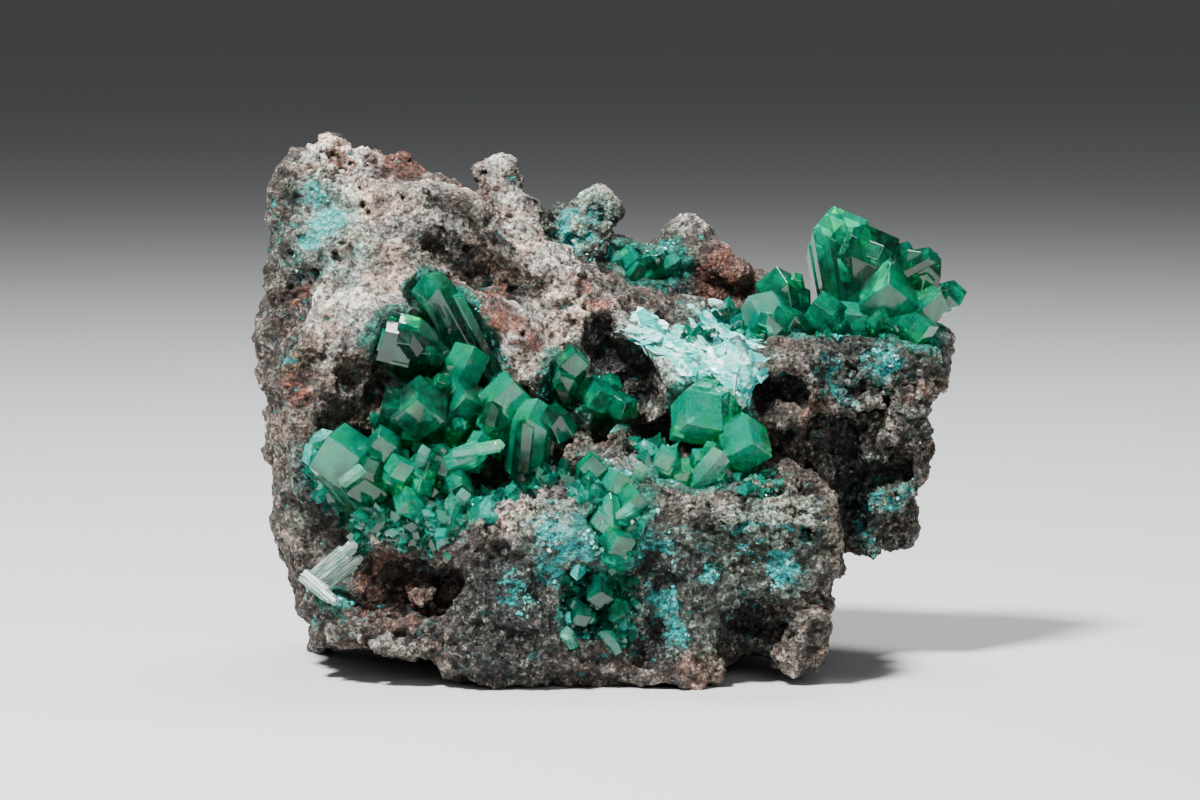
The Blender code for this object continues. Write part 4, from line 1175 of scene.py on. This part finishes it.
def scatter(name, pattern, spots, frames, sizes):
    """One joined mesh of a pattern's copies: spot, frame and size (three numbers, in metres) of each."""
    base = coordinates(pattern.data)
    faces = [list(polygon.vertices) for polygon in pattern.data.polygons]
    copies = np.einsum("nij,nvj->nvi", frames, base[None] * sizes[:, None, :]) + spots[:, None, :]
    number = len(base)
    mesh = bpy.data.meshes.new(name)
    loops = np.concatenate([np.array(face) for face in faces])
    every = (loops[None] + number * np.arange(len(spots))[:, None]).ravel()
    lengths = np.tile([len(face) for face in faces], len(spots))
    starts = np.concatenate([[0], np.cumsum(lengths)[:-1]])
    mesh.vertices.add(number * len(spots))
    mesh.vertices.foreach_set("co", copies.astype(np.float32).ravel())
    mesh.loops.add(len(every))
    mesh.loops.foreach_set("vertex_index", every.astype(np.int32))
    mesh.polygons.add(len(lengths))
    mesh.polygons.foreach_set("loop_start", starts.astype(np.int32))
    mesh.update(calc_edges=True)
    mesh.validate()
    mesh.shade_flat()
    add_layer(mesh, "tint", np.repeat(CHANCE.random(len(spots)), number))
    return new_piece(name, mesh)


def crystal_pattern():
    """A small crystal a metre wide and long, to be scaled, its base at the origin."""
    pattern = grow_crystal("pattern", (0, 0, 0), (0, 0, 1), 0.5, 1.0, 0, bevel=0)
    points = coordinates(pattern.data)
    points[:, 2] -= points[:, 2].min()
    points[:, :2] -= (points[:, :2].max(axis=0) + points[:, :2].min(axis=0)) / 2
    points[:, :2] /= np.abs(points[:, :2]).max() * 2
    points[:, 2] /= points[:, 2].max()
    pattern.data.vertices.foreach_set("co", points.astype(np.float32).ravel())
    return pattern


def grain_pattern():
    """An angular crumb a metre across, to be scaled: an icosphere cut by two planes."""
    bpy.ops.object.select_all(action="DESELECT")
    bpy.ops.mesh.primitive_ico_sphere_add(subdivisions=1, radius=0.5, location=(0, 0, 0))
    mode("EDIT")
    bisect((0.26, 0, 0), (1, 0.2, 0.3), clear_outer=True)
    bisect((0, 0.3, 0), (-0.2, 1, -0.3), clear_outer=True)
    face_outwards()
    mode("OBJECT")
    return bpy.context.object


def outside(points):
    """1 where a point is clear of every crystal and of the resting face, else 0."""
    return ((crystal_distance(points, 0.12) > 0.0) & (points[:, 2] > 0.6 * MM)).astype(float)


def shaken(normals, jitter):
    return normals + jitter * CHANCE.normal(size=normals.shape)


def sizes_between(count, low, high, lean):
    """Sizes in metres from low to high, leaning to the small end."""
    return (low + (high - low) * CHANCE.random(count) ** lean) * MM


def flattened(size, low, high):
    """Each size along three axes, times a random number from low to high."""
    return size[:, None] * CHANCE.uniform(low, high, (len(size), 3))


def make_druse(rock, pattern, name, count, width, slimness):
    """Small crystals that stand out of the rock, sunk by a third of their length."""
    def weight(points):
        return spot_weights(points, DRUSE) ** 2 * outside(points)
    places, normals = surface_places(rock, count, weight)
    frames = frames_along(shaken(normals, 0.42))
    across = sizes_between(count, *width)
    along = across * CHANCE.uniform(*slimness, count)
    places = places - frames[:, :, 2] * (along * 0.35)[:, None]
    return scatter(name, pattern, places, frames, np.stack([across, across, along], axis=1))


def make_grains(rock, pattern):
    """Angular crumbs on the rock, thickest where it is granular."""
    def weight(points):
        return (0.12 + spot_weights(points, GRANULAR)) * outside(points)
    count = 5200
    places, normals = surface_places(rock, count, weight)
    frames = frames_along(CHANCE.normal(size=normals.shape))
    size = sizes_between(count, 0.16, 0.62, 2.2)
    sizes = flattened(size, 0.6, 1.2)
    places = places - normals * (size * 0.12)[:, None]
    grains = scatter("rock_grains", pattern, places, frames, sizes)
    # The grains' fixed relief paints them lighter, as where the skin stands out.
    paint(grains, np.full(len(grains.data.vertices), GRAIN_RELIEF))
    return grains


def make_chips(rock, pattern):
    """Turquoise chips on the stains and along the crystals' feet."""
    def weight(points):
        near = crystal_distance(points)
        rims = 0.5 * ((near > 0.0) & (near < 0.9))
        crust = np.maximum(spot_weights(points, VERDIGRIS), rims)
        return crust * drift(points, 650.0, -0.22) * outside(points)
    count = 2400
    places, normals = surface_places(rock, count, weight)
    frames = frames_along(shaken(normals, 0.4))
    sizes = flattened(sizes_between(count, 0.07, 0.34, 3.2), (0.8, 0.8, 0.35), (1.4, 1.4, 0.8))
    return scatter("turquoise_crust", pattern, places, frames, sizes)


def make_sheets(rock, pattern):
    """Thin bright flakes lying on the skin, long along the slab's fall to the right."""
    def weight(points):
        return spot_weights(points, SHEETS) ** 2 * outside(points)
    count = 460
    places, normals = surface_places(rock, count, weight)
    flat = unit(shaken(normals, 0.16))
    fall = np.array((0.80, -0.25, -0.55)) + CHANCE.normal(0.0, 0.3, flat.shape)
    side = unit(np.cross(flat, fall))
    frames = np.stack([np.cross(side, flat), side, flat], axis=2)
    sizes = flattened(sizes_between(count, 0.3, 2.0, 1.7), (1.0, 0.30, 0.05), (1.6, 0.65, 0.12))
    return scatter("bright_sheets", pattern, places, frames, sizes)


# Floor, lights, camera.


def finish_piece(piece, slot, material, *nodes):
    piece.data.materials.clear()
    piece.data.materials.append(material)
    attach(piece, "root")
    if nodes:
        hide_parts(*nodes)


def make_floor():
    bpy.ops.object.select_all(action="DESELECT")
    bpy.ops.mesh.primitive_plane_add(size=1600.0, location=(0, 0, 0))
    floor = bpy.context.object
    floor.name = "floor"
    floor.data.materials.append(floor_look())


def make_studio():
    """The floor, soft lights aimed at the specimen, dim air and the camera."""
    make_floor()
    for name, place_at, size, power in LIGHTS:
        bpy.ops.object.light_add(type="AREA", location=place_at)
        light = bpy.context.object
        light.name = name
        light.data.shape = "RECTANGLE"
        light.data.size, light.data.size_y = size
        light.data.energy = power
        light.rotation_euler = (Vector(LIGHT_AIM) - Vector(place_at)).to_track_quat("-Z", "Y").to_euler()
    world = bpy.data.worlds.new("studio air")
    world.use_nodes = True
    air = world.node_tree.nodes["Background"].inputs
    air["Color"].default_value = (*AIR_COLOUR, 1.0)
    air["Strength"].default_value = AIR_STRENGTH
    bpy.context.scene.world = world
    bpy.ops.object.camera_add(location=CAMERA_PLACE, rotation=(math.pi / 2 - CAMERA_DIP, 0, 0))
    camera = bpy.context.object
    camera.data.lens = CAMERA_LENS
    camera.data.sensor_width = 36.0
    camera.data.clip_start = 0.01
    camera.data.clip_end = 2000.0
    bpy.context.scene.camera = camera


def dress_clusters():
    """Every crystal node's own crystals, with more grown beside and between them."""
    green = dioptase_look()
    pale = pale_look()
    for node, shapes in CRYSTALS.items():
        if node == "lath_crystals":
            sheaves = [blade for shape in shapes for blade in blades(shape, BLADES)]
            laths = join_crystals(node, sheaves, 0, 0, LATH_EDGE)
            finish_piece(laths, "pale_dioptase", pale, node)
        else:
            cluster = join_crystals(node, shapes, SIBLINGS, BETWEEN.get(node, 0), WORN_EDGE)
            finish_piece(cluster, "dioptase", green, node)


def join_skin(rock, back):
    """Both halves of the rock in one helper mesh, for small things to be scattered on."""
    skin = new_piece("skin", rock.data.copy())
    other = new_piece("skin_back", back.data.copy())
    pick(skin)
    other.select_set(True)
    bpy.ops.object.join()
    return skin


def scatter_small_things(skin, rock_material):
    crystal = crystal_pattern()
    grain = grain_pattern()
    small = druse_look()
    druse = make_druse(skin, crystal, "druse", 1200, (0.26, 1.0, 2.0), (1.2, 2.3))
    fine_druse = make_druse(skin, crystal, "fine_druse", 2600, (0.12, 0.40, 1.6), (1.2, 2.4))
    finish_piece(druse, "dioptase", small)
    finish_piece(fine_druse, "dioptase", small)
    finish_piece(make_grains(skin, grain), "matrix_rock", rock_material)
    finish_piece(make_chips(skin, grain), "dioptase", chip_look())
    finish_piece(make_sheets(skin, grain), "pale_dioptase", sheet_look())
    for helper in (crystal, grain, skin):
        bpy.data.objects.remove(helper)


def main():
    rock_material = rock_look()
    rock, back = make_rock()
    finish_piece(rock, "matrix_rock", rock_material, "matrix")
    finish_piece(back, "matrix_rock", rock_material, "matrix")
    dress_clusters()
    scatter_small_things(join_skin(rock, back), rock_material)
    make_studio()


main()
